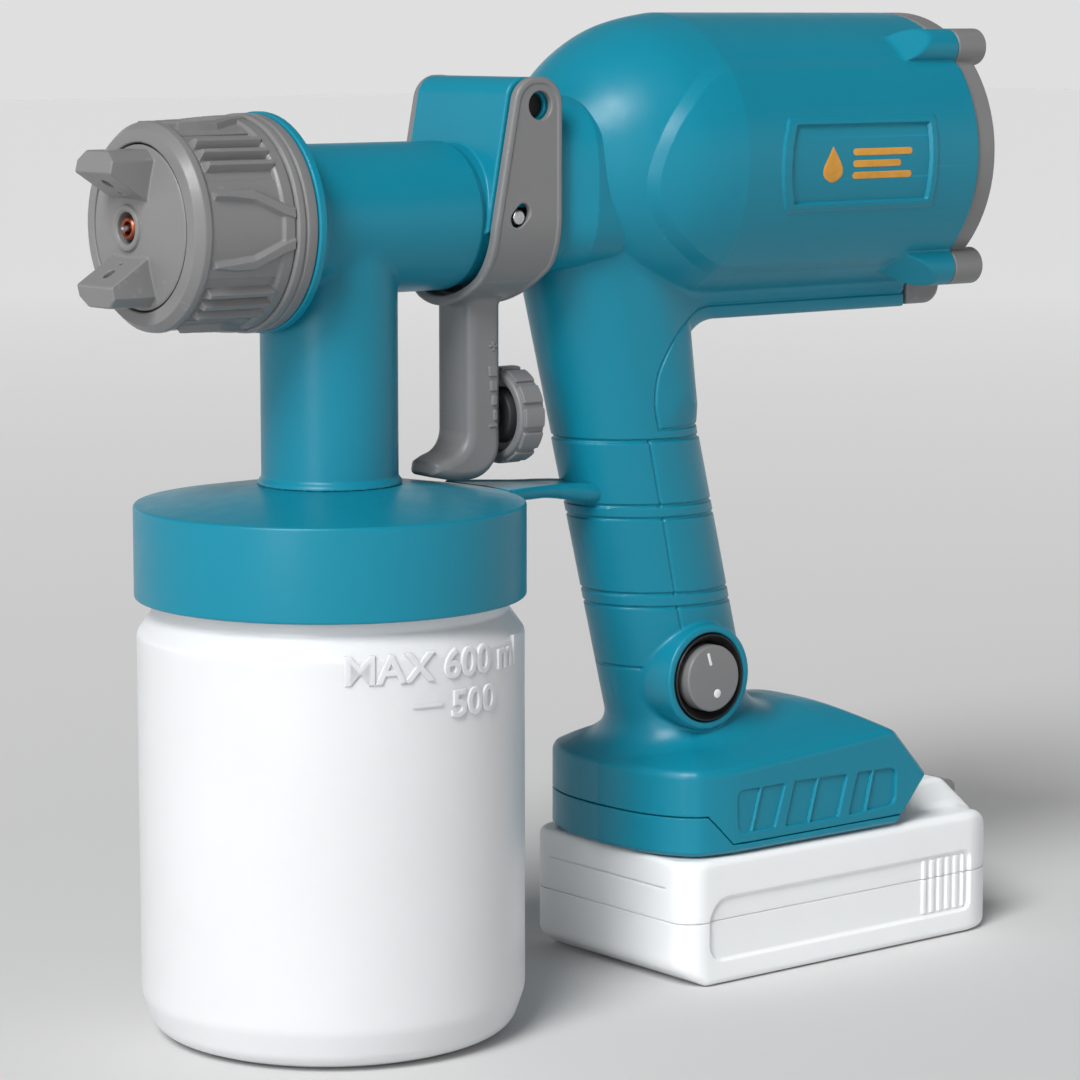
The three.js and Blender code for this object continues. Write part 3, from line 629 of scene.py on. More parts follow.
@once
def amber():
    n = Nodes("amber_print")
    n.colour(n.mix(n.span(n.noise(260), 0, 1), (0.6, 0.27, 0.025), (0.72, 0.34, 0.04)))
    n.set(Roughness=0.4)
    return n


LOOKS = {
    "teal_plastic": plastic("teal_moulded"), "grey_plastic": plastic("grey_moulded"),
    "dark_plastic": plastic("dark_moulded"), "black_plastic": plastic("black_moulded"),
    "seal_rubber": plastic("seal_rubber"), "ptfe": plastic("natural_tube"),
    "wire_red": plastic("wire_red"), "wire_black": plastic("black_moulded"),
    "cell_wrap": plastic("cell_sleeve"),
    "cup_plastic": cup_white, "battery_plastic": frosted, "filter_foam": foam, "circuit_board": board,
    "copper_nozzle": copper, "steel": steel,
}

# ---------------------------------------------------------------- gun housing
DOME = smooth_line([(62, 14.2), (66, 18), (70, 21.4), (75, 25.8), (80, 29.4), (85, 32.2), (90, 34.3),
                    (96, 35.8), (BARREL_START, BARREL_R)])
BARREL = Outline(np.vstack([
    [(58, -6), (60, -6)], DOME,
    [(BARREL_END - 0.5, BARREL_R), (BARREL_END, BARREL_R - 0.5), (BARREL_END, -6)]]), 0.3, 14)
SIDE_PANEL = Outline(np.vstack([
    smooth_line([(104, 237.5), (99, 236.4), (92, 232.4), (83.5, 223.5), (78.3, 212.5), (78.6, 203),
                 (84.5, 194.4), (93, 188), (101, 184.2), (107, 183.1)]),
    [(230, 183.1), (230, 237.5)]]), 0.3, 14)
EMBLEM_OUTER = Outline(rounded([
    (169.3, 199, 1.2), (169.3, 223.2, 1.2), (116.8, 223.2, 1.5), (114.4, 217.5, 9), (113.4, 211.1, 14),
    (114.4, 204.7, 9), (116.8, 199, 1.5)]), 0.2, 6)
EMBLEM_INNER = Outline(rounded([
    (166.8, 201, 0.6), (166.8, 221.4, 0.6), (119.4, 221.4, 0.8), (117.4, 216, 8), (116.8, 211.2, 12),
    (117.4, 206.4, 8), (119.4, 201, 0.8)]), 0.2, 6)


class Strip:
    """Distance to an open line, kept on a fine grid."""

    def __init__(self, points, step=0.25, margin=4.0):
        p = np.array(points, float)
        self.step = step
        self.low, u, v = grid_over(p, step, margin)
        best = np.full(u.shape, 1e9)
        for a, b in zip(p[:-1], p[1:]):
            e = b - a
            t = np.clip(((u - a[0]) * e[0] + (v - a[1]) * e[1]) / max(float(e @ e), 1e-9), 0, 1)
            best = np.minimum(best, np.hypot(u - a[0] - t * e[0], v - a[1] - t * e[1]))
        self.grid = best.astype(np.float32)

    __call__ = Outline.__call__


TANG_CURVE = smooth_line([(91.9, 143.7), (90.4, 151.3), (91.8, 159.7), (97.4, 167.6), (106.5, 173.4),
                          (112, 174.6)])
TANG_LINE = Strip(np.vstack([[(125, 143.9), (91.9, 143.7)], TANG_CURVE, [(186, 174.6)]]))
GRIP_SEAMS = [Strip([(88.9, 141.0), (92.8, 124.0)]), Strip([(93.7, 120.6), (98.0, 100.6)]),
              Strip([(98.9, 97.0), (102.0, 84.0)])]
GRIP_RINGS = [(141.0, 0.55), (124.0, 0.5), (120.6, 0.5), (100.6, 0.5), (97.0, 0.5), (80.6, 0.5)]
BASE_NOSE = smooth_line([(85, 0), (85.9, -12.3), (87.9, -19.9), (90.4, -24.9), (92.8, -28), (96, -30.2),
                         (103.5, -31.7), (112, -32.1)])


def base_outline(rear):
    back = [(rear, -BASE_HALF), (rear, BASE_HALF)]
    return Outline(np.vstack([BASE_NOSE, back, BASE_NOSE[:0:-1] * (1, -1)]), 0.3, 34)


BASE_PLAN = base_outline(176)
CROWN_PLAN = base_outline(230)
BASE_SIDE = Outline(rounded([(60, 34), (163.4, 34, 1.5), (174.1, 46.2, 1.2), (161.2, 60.4, 2.5),
                             (151.5, 67.6, 12), (60, 67.6)]), 0.3, 12)
NECK_HALF = smooth_line([(0, 229.6), (8.7, 228.9), (13.6, 227), (17.3, 223.5), (19.9, 219.2), (21, 213.7),
                         (21.2, 208.8), (21.1, 203.7), (20.8, 197.6), (19.5, 193), (16.4, 189), (11.5, 186.2),
                         (6, 184.6), (0, 184.2)])
NECK_FRONT = Outline(np.vstack([NECK_HALF, NECK_HALF[-2:0:-1] * (-1, 1)]), 0.25, 8)
KEEL_SIDE = Outline(rounded([(84, 200), (98, 150), (104, 150), (104, 170.6), (BARREL_END, 170.6),
                             (BARREL_END, 200)]), 0.3, 14)
WINDOWS = [
    (Outline(rounded(corners), 0.2, 5), rib) for corners, rib in (
        ([(105.9, 50.3, 1.8), (122.3, 50.3, 0.6), (118.6, 39.2, 0.6), (106.3, 39.2, 2.2)], (113.9, 110.7)),
        ([(125.7, 50.4, 0.6), (144.4, 49.9, 0.6), (141.2, 38.9, 0.6), (122.4, 38.9, 0.6)], (134.0, 130.9)),
        ([(148.2, 49.9, 0.6), (162.3, 49.4, 2), (162.0, 39.6, 2.2), (145.1, 38.9, 0.6)], (154.0, 151.3)))
]
PARTING = Outline([(40, 10), (40, 44.4), (97, 44.4), (104.6, 36.4), (200, 36.4), (200, 10)], 0.3, 40)
HOUSING_SCREWS = [(122, 176.8, 8.4), (76, 168, 10.4), (106.5, 104, 13), (98, 51, 18), (152, 60, 17)]


def crown(x, y, z):
    """The base's top: a rim of even height round its edge, swelling up towards the middle."""
    rim = np.interp(x, [105, 120, 138, 158, 170], [56, 57, 58.2, 59.7, 60.2])
    middle = np.interp(x, [85, 115, 145, 170], [63.6, 64.6, 66.8, 66])
    inwards = np.clip(-CROWN_PLAN(x, y) / 30, 0, 1)
    return (z - rim - (middle - rim) * (1 - (1 - inwards) ** 2)) * 0.9


def base_shape(x, y, z):
    plan = BASE_PLAN(x, y)
    side = BASE_SIDE(x, z)
    top = crown(x, y, z)
    sides = both(plan, side, 0.8)
    rear = np.maximum(sides, (plan + side) * 0.7071 + 0.75)
    return both(rear, top, 1.5)


def groove(surface, away, size):
    """A narrow rounded channel along a line drawn on the surface."""
    tube = np.hypot(away, surface) - size
    k = 0.18
    a, b = surface, -tube
    h = np.clip(0.5 + 0.5 * (a - b) / k, 0, 1)
    return a * h + b * (1 - h) + k * h * (1 - h)


def barrel_shape(x, y, z):
    r = np.hypot(y, z - BARREL_Z)
    d = BARREL(x, r)
    panel = SIDE_PANEL(x, z)
    sidewards = np.abs(y) > 6
    d = d - np.where(sidewards, PANEL_RISE * np.clip(-panel / 2.3, 0, 1), 0)
    frame_up = FRAME_RISE * np.clip(-EMBLEM_OUTER(x, z) / 0.7, 0, 1)
    sunk = EMBLEM_SINK * np.clip(-EMBLEM_INNER(x, z) / 0.6, 0, 1)
    d = d - np.where(sidewards, frame_up - sunk, 0)
    for cy, cz in BOSSES:
        uy, uz = cy, cz - BARREL_Z
        reach = math.hypot(uy, uz)
        uy, uz = uy / reach, uz / reach
        out = y * uy + (z - BARREL_Z) * uz
        across = -y * uz + (z - BARREL_Z) * uy
        arm = np.where(out > reach, np.hypot(out - reach, across), np.abs(across)) - BOSS_R
        slope = -0.52 * (x - 165.6) + 0.855 * (out - BARREL_R)
        boss = both(both(arm, slope, 0.5), np.maximum(x - BARREL_END, 20 - out), 0.3)
        d = union(d, boss, 0.5)
    return d


def handle_shape(x, y, z):
    u = x - handle_x(z)
    column = ellipse(u, y, 20.5, 16.5) * 0.97
    column = column - 0.2 * ramp((141.2 - z) / 0.8)
    column = np.maximum(column, box1(z, 50, 205))
    keel = both(KEEL_SIDE(x, z), np.abs(y) - 12, 3.2)
    return union(column, keel, 10.5)


def outside(x, y, z):
    handle = handle_shape(x, y, z)
    base = base_shape(x, y, z)
    lower = union(handle, base, 7.5)
    ring = both(np.hypot(x - SWITCH_X, z - SWITCH_Z) - 13.9, np.abs(y + 10) - 9.8, 0.9)
    lower = union(lower, ring, 0.9)
    upper = union(barrel_shape(x, y, z), lower, 1.6)
    return upper


def grooved(x, y, z):
    d = outside(x, y, z)
    near = np.abs(d) < 4
    ring = np.hypot(x - SWITCH_X, z - SWITCH_Z) > 14.3
    lift = z + 0.02 * (x - handle_x(z))
    for level, size in GRIP_RINGS:
        d = np.where(near & ring, groove(d, np.abs(lift - level), size), d)
    for seam in GRIP_SEAMS:
        d = np.where(near & ring & (np.abs(y) > 5), groove(d, seam(x, z), 0.42), d)
    return np.where(near & (np.abs(y) > 2), groove(d, TANG_LINE(x, z), 0.45), d)


def sunk_windows(x, y, z, d):
    depth = BASE_HALF - np.abs(y)
    for window, (top, bottom) in WINDOWS:
        pit = both(window(x, z), depth - 0.9, 0.1)
        lean = (x - bottom - (top - bottom) * (z - 39) / 11) * 0.96
        rib = np.maximum(np.abs(lean) - 0.35, depth - 1.5)
        d = np.where(z < 55, less(d, less(pit, rib, 0.12), 0.35), d)
    return d


def cavity(x, y, z, f):
    inner = f + WALL
    bore = np.maximum(np.hypot(y, z - BARREL_Z) - 34.4, np.abs(x - 172) - 20)
    well = np.maximum(np.maximum(BASE_PLAN(x, y) + 2.6, BASE_SIDE(x, np.maximum(z, 40)) + 2.6), z - 50)
    return np.minimum(np.minimum(inner, bore), well)


def posts(x, y, z):
    d = np.full_like(x, 50)
    for px, pz, seat in HOUSING_SCREWS:
        d = np.minimum(d, np.maximum(np.hypot(x - px, z - pz) - SCREW_POST_R, y - seat - 0.6))
    return d


def neck(x, y, z, inset=0.0):
    share = 0.87 + 0.13 * np.clip((x - 60.5) / 7, 0, 1)
    return np.maximum(NECK_FRONT(y / share, z) * 0.95 + inset, np.abs(x - 67) - 11)


def housing_wall(x, y, z):
    f = outside(x, y, z)
    g = sunk_windows(x, y, z, grooved(x, y, z))
    shell = less(g, cavity(x, y, z, f), 0.25)
    shell = np.minimum(shell, np.maximum(posts(x, y, z), f + 1.0))
    for px, pz, seat in HOUSING_SCREWS:
        out = np.hypot(x - px, z - pz)
        bore = np.minimum(np.maximum(out - SCREW_SHANK_BORE, -8 - y),
                          np.maximum(out - SCREW_HEAD_BORE, seat - y))
        shell = less(shell, bore, 0.2)
    shell = np.where(x < 85, less(shell, neck(x, y, z, 1.2), 0.3), shell)
    recess = np.maximum(np.hypot(x - SWITCH_X, z - SWITCH_Z) - 11.75, y + 6)
    shell = less(shell, recess, 0.6)
    for cy, cz in BOSSES:
        shell = np.maximum(shell, -np.maximum(np.hypot(y - cy, z - cz) - 2, 177 - x))
    way = np.maximum(np.maximum(150 - x, np.abs(y) - 23), z - 42.6)
    return np.maximum(shell, -way)


def housing_field(x, y, z):
    d = housing_wall(x, y, z)
    return np.where(z < 60, less(d, PARTING(x, z) - 0.12, 0.3), d)


def base_frame_field(x, y, z):
    d = both(housing_wall(x, y, z), PARTING(x, z) + 0.12, 0.3)
    side = np.abs(y)
    rail = both(both(np.abs(side - 25.2) - 5.8, box1(z, 34.2, 36.3), 0.3), box1(x, 90, 160), 0.4)
    return union(d, np.maximum(rail, base_shape(x, y, z) + 0.6), 0.3)


def half(source, name, keep):
    """One side of a mesh, cut along the gun's middle plane and closed again."""
    mesh = bmesh.new()
    mesh.from_mesh(source.data)
    everything = list(mesh.verts) + list(mesh.edges) + list(mesh.faces)
    cut = bmesh.ops.bisect_plane(mesh, geom=everything, plane_co=(0, keep * SEAM * MM, 0),
                                 plane_no=(0, keep, 0), clear_inner=True, dist=1e-7)
    rim = [e for e in cut["geom_cut"] if isinstance(e, bmesh.types.BMEdge)]
    bmesh.ops.triangle_fill(mesh, use_beauty=True, edges=rim)
    bmesh.ops.recalc_face_normals(mesh, faces=mesh.faces)
    return released(mesh, name)


def housing():
    low, high = (58, -38.5, 33), (186, 38.5, 251)
    whole = carve("housing_whole", housing_field, low, high, 0.42, 380_000, 1.2)
    for name, side in (("housing_left_shell", -1), ("housing_right_shell", 1)):
        piece = half(whole, name, side)
        shade(piece, housing_field)
        place(piece, "gun_body", "housing_left" if side < 0 else "housing_right", "teal_plastic")
    bpy.data.objects.remove(whole)
    carve_unit("base_lower_frame", base_frame_field, "gun_body", "base_frame", "teal_plastic",
               (82, -34, 32.5), (177, 34, 47), 0.4, 90_000, 1.2)


# ---------------------------------------------------------------- camera, floor and light
SENSOR = 36
LENS = 124.3753
CAMERA_PLACE = (-0.52715, -0.73536, 0.24851)
CAMERA_AZIMUTH = -38.88
CAMERA_ELEVATION = 7.99
FLOOR_HALF = 9000
FLOOR_Z = -0.2
HORIZON_LIGHT = 0.74
ZENITH_LIGHT = 0.14


def camera():
    data = bpy.data.cameras.new("camera")
    data.sensor_width = SENSOR
    data.lens = LENS
    data.clip_start = 0.01
    data.clip_end = 50
    item = in_scene("camera", data)
    azimuth, elevation = math.radians(CAMERA_AZIMUTH), math.radians(CAMERA_ELEVATION)
    back = Vector((math.sin(azimuth) * math.cos(elevation), -math.cos(azimuth) * math.cos(elevation),
                   math.sin(elevation)))
    item.rotation_mode = "QUATERNION"
    item.rotation_quaternion = (-back).to_track_quat("-Z", "Y")
    item.location = CAMERA_PLACE
    bpy.context.scene.camera = item


def light(name, kind, energy, place, facing):
    """A light whose back looks along facing, so that it shines the other way."""
    data = bpy.data.lights.new(name, kind)
    data.energy = energy
    item = in_scene(name, data)
    item.location = place
    item.rotation_mode = "QUATERNION"
    item.rotation_quaternion = Vector(facing).to_track_quat("Z", "Y")
    return data


def studio():
    corners = [(u * FLOOR_HALF, v * FLOOR_HALF, FLOOR_Z) for u, v in ((-1, -1), (1, -1), (1, 1), (-1, 1))]
    floor = new_object("floor", corners, [(0, 1, 2, 3)])
    n = Nodes("studio_floor")
    # The floor's colour runs from darker near the object to paler far out: painted shade round the object and
    # painted light towards the horizon.
    away = n.tree.nodes.new("ShaderNodeVectorMath")
    away.operation = "LENGTH"
    n.link(n.place, away.inputs[0])
    n.colour(n.mix(n.span(away.outputs["Value"], 0, 1, 0.25, 2.5), (0.68, 0.68, 0.68), (0.93, 0.93, 0.93)))
    n.set(Roughness=0.95, Specular_IOR_Level=0.1)
    floor.data.materials.append(n.material)
    world = bpy.data.worlds.new("studio")
    bpy.context.scene.world = world
    world.use_nodes = True
    tree = world.node_tree
    background = tree.nodes["Background"]
    way = tree.nodes.new("ShaderNodeTexCoord")
    split = tree.nodes.new("ShaderNodeSeparateXYZ")
    fade = tree.nodes.new("ShaderNodeMapRange")
    fade.interpolation_type = "SMOOTHSTEP"
    for key, value in (("From Min", 0.15), ("From Max", 0.4),
                       ("To Min", HORIZON_LIGHT), ("To Max", ZENITH_LIGHT)):
        fade.inputs[key].default_value = value
    tree.links.new(way.outputs["Generated"], split.inputs[0])
    tree.links.new(split.outputs["Z"], fade.inputs["Value"])
    tree.links.new(fade.outputs[0], background.inputs["Strength"])
    background.inputs["Color"].default_value = (1, 1, 1, 1)
    towards = Vector((-0.64, -0.328, 0.695))
    key = light("key", "SUN", 2.7, towards, towards)
    key.angle = math.radians(26)
    # A tall soft box that gives upright surfaces their streak of light.
    place_of_strip = Vector((-1.33, -0.68, 0.68))
    strip = light("strip", "AREA", 7.5, place_of_strip, place_of_strip - Vector((0.05, 0.0, 0.68)))
    strip.shape = "RECTANGLE"
    strip.size, strip.size_y = 0.42, 1.3
    bpy.context.scene.view_settings.view_transform = "Standard"


# ---------------------------------------------------------------- turned pieces
def finish_mesh(piece, angle=35.0):
    mesh = bmesh.new()
    mesh.from_mesh(piece.data)
    bmesh.ops.remove_doubles(mesh, verts=mesh.verts, dist=1e-7)
    bmesh.ops.recalc_face_normals(mesh, faces=mesh.faces)
    mesh.to_mesh(piece.data)
    mesh.free()
    piece.data.shade_smooth()
    piece.data.set_sharp_from_angle(angle=math.radians(angle))
    return piece


def spun(name, outline, axis, centre, segments):
    """Solid of revolution: outline is a closed loop of (along the axis, radius)."""
    p = np.array(outline, float)
    n = len(p)
    turn = 2 * math.pi * np.arange(segments) / segments
    a = np.tile(p[:, 0], segments)
    r = np.tile(p[:, 1], segments)
    t = np.repeat(turn, n)
    around = [r * np.cos(t), r * np.sin(t)]
    columns = [None] * 3
    columns[axis] = a
    columns[(axis + 1) % 3], columns[(axis + 2) % 3] = around
    vertices = np.stack(columns, -1) + np.array(centre)
    i, k = np.meshgrid(np.arange(n), np.arange(segments))
    i, k = i.ravel(), k.ravel()
    j, m = (i + 1) % n, (k + 1) % segments
    faces = np.stack([k * n + i, k * n + j, m * n + j, m * n + i], -1)
    return finish_mesh(new_object(name, vertices, faces))


CAPITAL_SHARE = 0.72
MARKS_R = CUP_R - 0.08
# Words, their width, the angle they start at, their level and their height; "_" is a plain bar.
CUP_MARKS = (("MAX 600 ml", 53.0, -122.0, 94.2, 6.9), ("500", 15.2, -89.3, 84.7, 6.4),
             ("_", 8.2, -102.2, 88.1, 1.0))


def lathe(name, outline, arc, axis, centre, segments, body, node, slot):
    """A turned piece, rounded from its corner points and put in its place."""
    return place(spun(name, rounded(outline, arc), axis, centre, segments), body, node, slot)


def cup_and_lid():
    wall = [
        (0, 0, 0), (0, 38.8, 2), (2.2, 44.6, 6), (10.5, CUP_R, 9), (99.8, CUP_R, 2.6), (105.2, 43.6, 1.6),
        (122, 43.6, 0.6), (122, 41.1, 0.6), (105, 41.1, 1.5), (98, 45.6, 2.5), (11, 45.6, 7), (4.4, 43, 3),
        (2.3, 38, 1.5), (2.3, 0, 0)]
    lathe("cup_body", wall, 10, 2, (0, 0, 0), 192, "cup", "cup", "cup_plastic")
    marks()
    cap = [(126, 12.6, 0.2), (126, 44.3, 0.6), (108.4, 44.3, 0.5), (108.4, LID_R, 0.7), (131.1, LID_R, 0.8),
           (135.8, 17.5), (135.8, 12.6, 0.2)]
    lathe("lid_cap", cap, 10, 2, (0, 0, 0), 192, "gun_body", "lid", "teal_plastic")


def raised_words(words, height):
    """A flat mesh of the words, thick enough to stand out of the cup's wall."""
    curve = bpy.data.curves.new("mark", "FONT")
    curve.body = words
    curve.size = height / CAPITAL_SHARE
    curve.extrude = 0.3
    curve.bevel_depth = 0.2
    curve.bevel_resolution = 2
    curve.offset = 0.08
    curve.resolution_u = 5
    holder = in_scene("mark_flat", curve)
    graph = bpy.context.evaluated_depsgraph_get()
    mesh = bpy.data.meshes.new_from_object(holder.evaluated_get(graph))
    bpy.data.objects.remove(holder)
    return mesh


def marks():
    """Capacity marks moulded on the cup: the fill line's words and a lower line."""
    joined = bmesh.new()
    for words, span, start, level, height in CUP_MARKS:
        if words == "_":
            flat = bmesh.new()
            bmesh.ops.create_cube(flat, size=1)
            bmesh.ops.scale(flat, vec=(span, 1.1, 0.8), verts=flat.verts)
            bmesh.ops.translate(flat, vec=(span / 2, 0, 0.15), verts=flat.verts)
            bmesh.ops.bevel(flat, geom=flat.edges, offset=0.2, segments=2, affect="EDGES")
        else:
            mesh = raised_words(words, height)
            flat = bmesh.new()
            flat.from_mesh(mesh)
            bpy.data.meshes.remove(mesh)
            xs = [v.co.x for v in flat.verts]
            fit = span / (max(xs) - min(xs))
            bmesh.ops.scale(flat, vec=(fit, 1, 1), verts=flat.verts)
            bmesh.ops.translate(flat, vec=(-min(xs) * fit, 0, 0.15), verts=flat.verts)
        bmesh.ops.subdivide_edges(flat, edges=[e for e in flat.edges if e.calc_length() > 1.2], cuts=3)
        for v in flat.verts:
            angle = math.radians(start) + v.co.x / MARKS_R
            reach = MARKS_R + v.co.z
            v.co = Vector((reach * math.cos(angle), reach * math.sin(angle), level + v.co.y)) * MM
        part = bpy.data.meshes.new("part")
        flat.to_mesh(part)
        flat.free()
        joined.from_mesh(part)
        bpy.data.meshes.remove(part)
    piece = released(joined, "cup_capacity_marks")
    piece.data.shade_smooth()
    piece.data.set_sharp_from_angle(angle=math.radians(50))
    place(piece, "cup", None, "cup_plastic")


# ---------------------------------------------------------------- lid arm
def arm_centre(x):
    return np.interp(x, [44, 52, 60, 68, 75, 82], [129.9, 129.7, 129.35, 128.8, 128.1, 127.4])


def arm_field(x, y, z):
    half = np.interp(x, [46, 50, 55, 60, 66, 72, 90], [14.5, 12.8, 11.0, 9.4, 8.0, 7.4, 7.2])
    bead = ramp((x - 60) / 16)
    thick = 1.25 + 0.75 * bead
    rise = z - arm_centre(x) - 0.25 * (1 - bead)
    plate = both(np.abs(y) - half, np.abs(rise) - thick, 0.97 * 1.2)
    rim = np.hypot(np.abs(y) - half + 1.6, rise) - (1.5 + 0.85 * bead)
    d = union(plate, rim, 0.8)
    lid = np.hypot(x, y) - (LID_R + 0.06)
    column = ellipse(x - handle_x(z), y, 20.75, 16.75) * 0.97
    return both(both(d, -lid, 0.15), -column, 0.1)


# ---------------------------------------------------------------- spray head
HEAD_TUBE = Outline(rounded([
    (-21, -4), (-21, 26.4, 0.5), (-18.9, 26.4, 0.6), (-16.6, 20.4, 2.2), (-12.5, 18.4, 3), (33, 18.4, 0.8),
    (35, 17.6, 0.8), (57, 17.6), (57, -4)]), 0.25, 12)
BLOCK_SIDE = Outline(rounded([
    (34.4, 196), (41.5, 233.8, 5.5), (56.2, 233.8, 6.9), (56.2, 196)], 12), 0.25, 12)


def spray_head_field(x, y, z):
    r = np.hypot(y, z - TUBE_Z)
    up = np.hypot(x, y)
    flare = 0.9 * ramp((138 - z) / 1.7)
    stem = np.maximum(up - 16.75 - flare, np.maximum(135.85 - z, z - TUBE_Z))
    tube = HEAD_TUBE(x, r)
    body = union(stem, tube, 0.9)
    block = both(BLOCK_SIDE(x, z), np.abs(y) - 18.2, 0.8)
    body = union(body, block, 0.5)
    body = union(body, neck(x, y, z), 1.0)
    spigot = np.maximum(up - 11.9, np.abs(z - 128) - 8.8)
    body = union(body, spigot, 0)
    bores = np.minimum(r - 15.4, np.maximum(up - 9.4, z - 190))
    bores = np.minimum(bores, np.hypot(x - PIVOT_X, z - PIVOT_Z) - 3.1)
    slot = rect(x, z, PIN_X - 2.3, PIN_X + 7.3, TUBE_Z - 2.3, TUBE_Z + 2.3, 2)
    return less(body, np.minimum(bores, slot), 0.3)


# ---------------------------------------------------------------- nozzle end
def around_axis(y, z):
    """Angle in degrees from the nearest quarter turn, seen along the nozzle's axis."""
    angle = np.degrees(np.arctan2(z - TUBE_Z, -y))
    return np.mod(angle + 45, 90) - 45


COLLAR = Outline(rounded([
    (-27.1, 21.4), (-27.1, 25.2, 0.3), (-29.9, 25.2, 0.3), (-30.6, 24.5, 0.4), (-49.4, 24.25, 0.5),
    (-50.2, 24.75, 0.5), (-51.7, 24.55, 0.7), (-53.7, 22.9, 0.5), (-54, 19.75, 0.4), (-51, 19.6),
    (-51, 21.4)]), 0.15, 8)


def collar_field(x, y, z):
    r = np.hypot(y, z - TUBE_Z)
    d = COLLAR(x, r)
    turn = around_axis(y, z)
    side = np.abs(turn)
    arc = math.radians(1) * 25.0
    ribs = None
    for middle in (36.6, 45.0):
        across = np.minimum(np.abs(side - middle), np.abs(90 - side - middle)) * arc
        rib = np.maximum(across + 0.5 * (r - 25.3) - 0.82, r - 25.9)
        rib = np.maximum(rib, np.maximum(-48.3 - x + 0.4 * (r - 25.3), x + 30.2))
        rib = np.maximum(rib, 23.5 - r)
        ribs = rib if ribs is None else np.minimum(ribs, rib)
    pocket = np.maximum(np.minimum(np.abs(side - 45), 45) * arc - 7.6, np.abs(x + 40.2) - 9.6)
    d = less(d, np.maximum(np.maximum(pocket, 23.9 - r), r - 30), 0.25)
    d = union(d, ribs, 0.15)
    bend = np.interp(x, [-48.3, -43, -38, -30.2, -27], [18.9, 19.2, 18.4, 10.2, 8.0])
    wide = np.interp(x, [-48.6, -47, -42, -38, -30, -27], [0.4, 0.55, 1.0, 1.2, 1.2, 1.2])
    across = np.abs(side - bend) * arc
    arm = np.maximum(across * 0.86 + 0.55 * (r - 25.2) - wide, r - 25.75)
    arm = np.maximum(np.maximum(arm, np.maximum(-48.6 - x, x + 27.3)), 23.5 - r)
    return union(d, arm, 0.2)


CAP_DISC = Outline(np.vstack([
    rounded([(-49, 8.6), (-47.2, 8.6), (-47.2, 20.9), (-50.7, 20.9, 0.2), (-50.7, 19.3, 0.2)], 4),
    smooth_line([(-53.5, 19.25), (-54.0, 18.9), (-55.3, 14.5), (-56.3, 10.5), (-57.0, 6.2)], 0.4),
    rounded([(-57.1, 5.6, 0.2), (-57.8, 5.3, 0.3), (-58.0, 4.5, 0.3), (-57.5, 3.75, 0.3), (-49, 3.75)], 5)]),
    0.15, 8)


def air_cap_field(x, y, z):
    up = z - TUBE_Z
    r = np.hypot(y, up)
    d = CAP_DISC(x, r)
    high = np.abs(up)
    side = np.abs(y)
    block = both(side - 7.6, (side - 4.5) * 0.6 + (high - 18.2) * 0.8, 0.3)
    block = both(block, high - 18.2, 0.4)
    inner = -0.545 * (x + 61) - 0.839 * (high - 9.4)
    block = both(block, inner, 0.4)
    lean = 0.97 * (-66.4 - x) + 0.24 * (high - 14)
    horn = both(block, np.maximum(lean, x + 50), 0.5)
    horn = np.maximum(horn, (-66.4 - x) * 0.7 + (high - 17.7) * 0.714)
    d = union(d, horn, 0.35)
    away_x, away_h = x + 62.4, high - 10.3
    out = away_x * 0.545 + away_h * 0.839
    along = away_x * 0.839 - away_h * 0.545
    port = np.maximum(np.hypot(along * 0.8, y) - 1.35, np.abs(out) - 4)
    small = np.maximum(np.hypot(along - 4, y) - 0.5, np.abs(out) - 3)
    return less(d, np.minimum(port, small), 0.2)


def nozzle_parts():
    holder = [(-21.2, 16.2), (-21.2, 25.9, 0.4), (-24.0, 26.1, 0.3), (-24.3, 25.6, 0.2), (-24.7, 25.6, 0.2),
              (-25.0, 26.1, 0.3), (-26.5, 26.0, 0.4), (-26.9, 25.4, 0.2), (-26.9, 21, 0.2), (-45, 21, 0.3),
              (-45, 8), (-41, 8), (-41, 16.2)]
    centre = (0, 0, TUBE_Z)
    lathe("nozzle_holder_ring", holder, 5, 0, centre, 192, "gun_body", "nozzle_holder", "grey_plastic")
    ring = [(-46.9, 17, 0.5), (-46.9, 20.4, 0.5), (-45.3, 20.4, 0.5), (-45.3, 17, 0.5)]
    lathe("air_cap_o_ring", ring, 5, 0, centre, 96, "gun_body", "air_cap_seal", "seal_rubber")
    tip = [(-34.3, 1.6), (-34.3, 7, 0.3), (-44.6, 7, 0.3), (-46.4, 3.4, 0.5), (-56.9, 2.75, 0.2),
           (-57.5, 2.3, 0.3), (-57.2, 1.6, 0.2)]
    lathe("paint_nozzle_tip", tip, 5, 0, centre, 96, "gun_body", "paint_nozzle", "copper_nozzle")
    rod = [(-59, 0), (-58.7, 0.45, 0.2), (-57.6, 0.75, 0.3), (-54, 1.2, 0.5), (40.3, 1.2), (40.3, 0)]
    lathe("needle_rod", rod, 5, 0, centre, 48, "needle", "needle", "steel")
    carve_unit("collar_nut_body", collar_field, "collar", "collar_nut", "grey_plastic",
               (-55, -26.2, 173), (-26.5, 26.2, 226.5), 0.27, 170_000, 0.8)
    carve_unit("air_cap_body", air_cap_field, "air_cap", "air_cap", "grey_plastic",
               (-67.5, -21.5, 178), (-46.8, 21.5, 221.5), 0.22, 110_000, 0.8)


# ---------------------------------------------------------------- trigger
YOKE_SIDE = Outline(rounded([
    (31.5, 168), (33.0, 179.4, 2.5), (35.2, 184.5, 6), (35.2, 197.5, 8), (42.4, 233.9, 6.9),
    (56.3, 233.9, 6.9), (56.3, 187, 7), (49.5, 175.5, 3), (47, 168)], 12), 0.25, 12)
BLADE_SIDE = Outline(rounded([
    (37.6, 184), (37.6, 146, 2), (37.1, 141.5, 6), (28.2, 138.9, 1.3), (27.4, 135.6, 1.1), (34.5, 134, 4),
    (48.2, 134, 9), (48.2, 184)], 12), 0.25, 12)


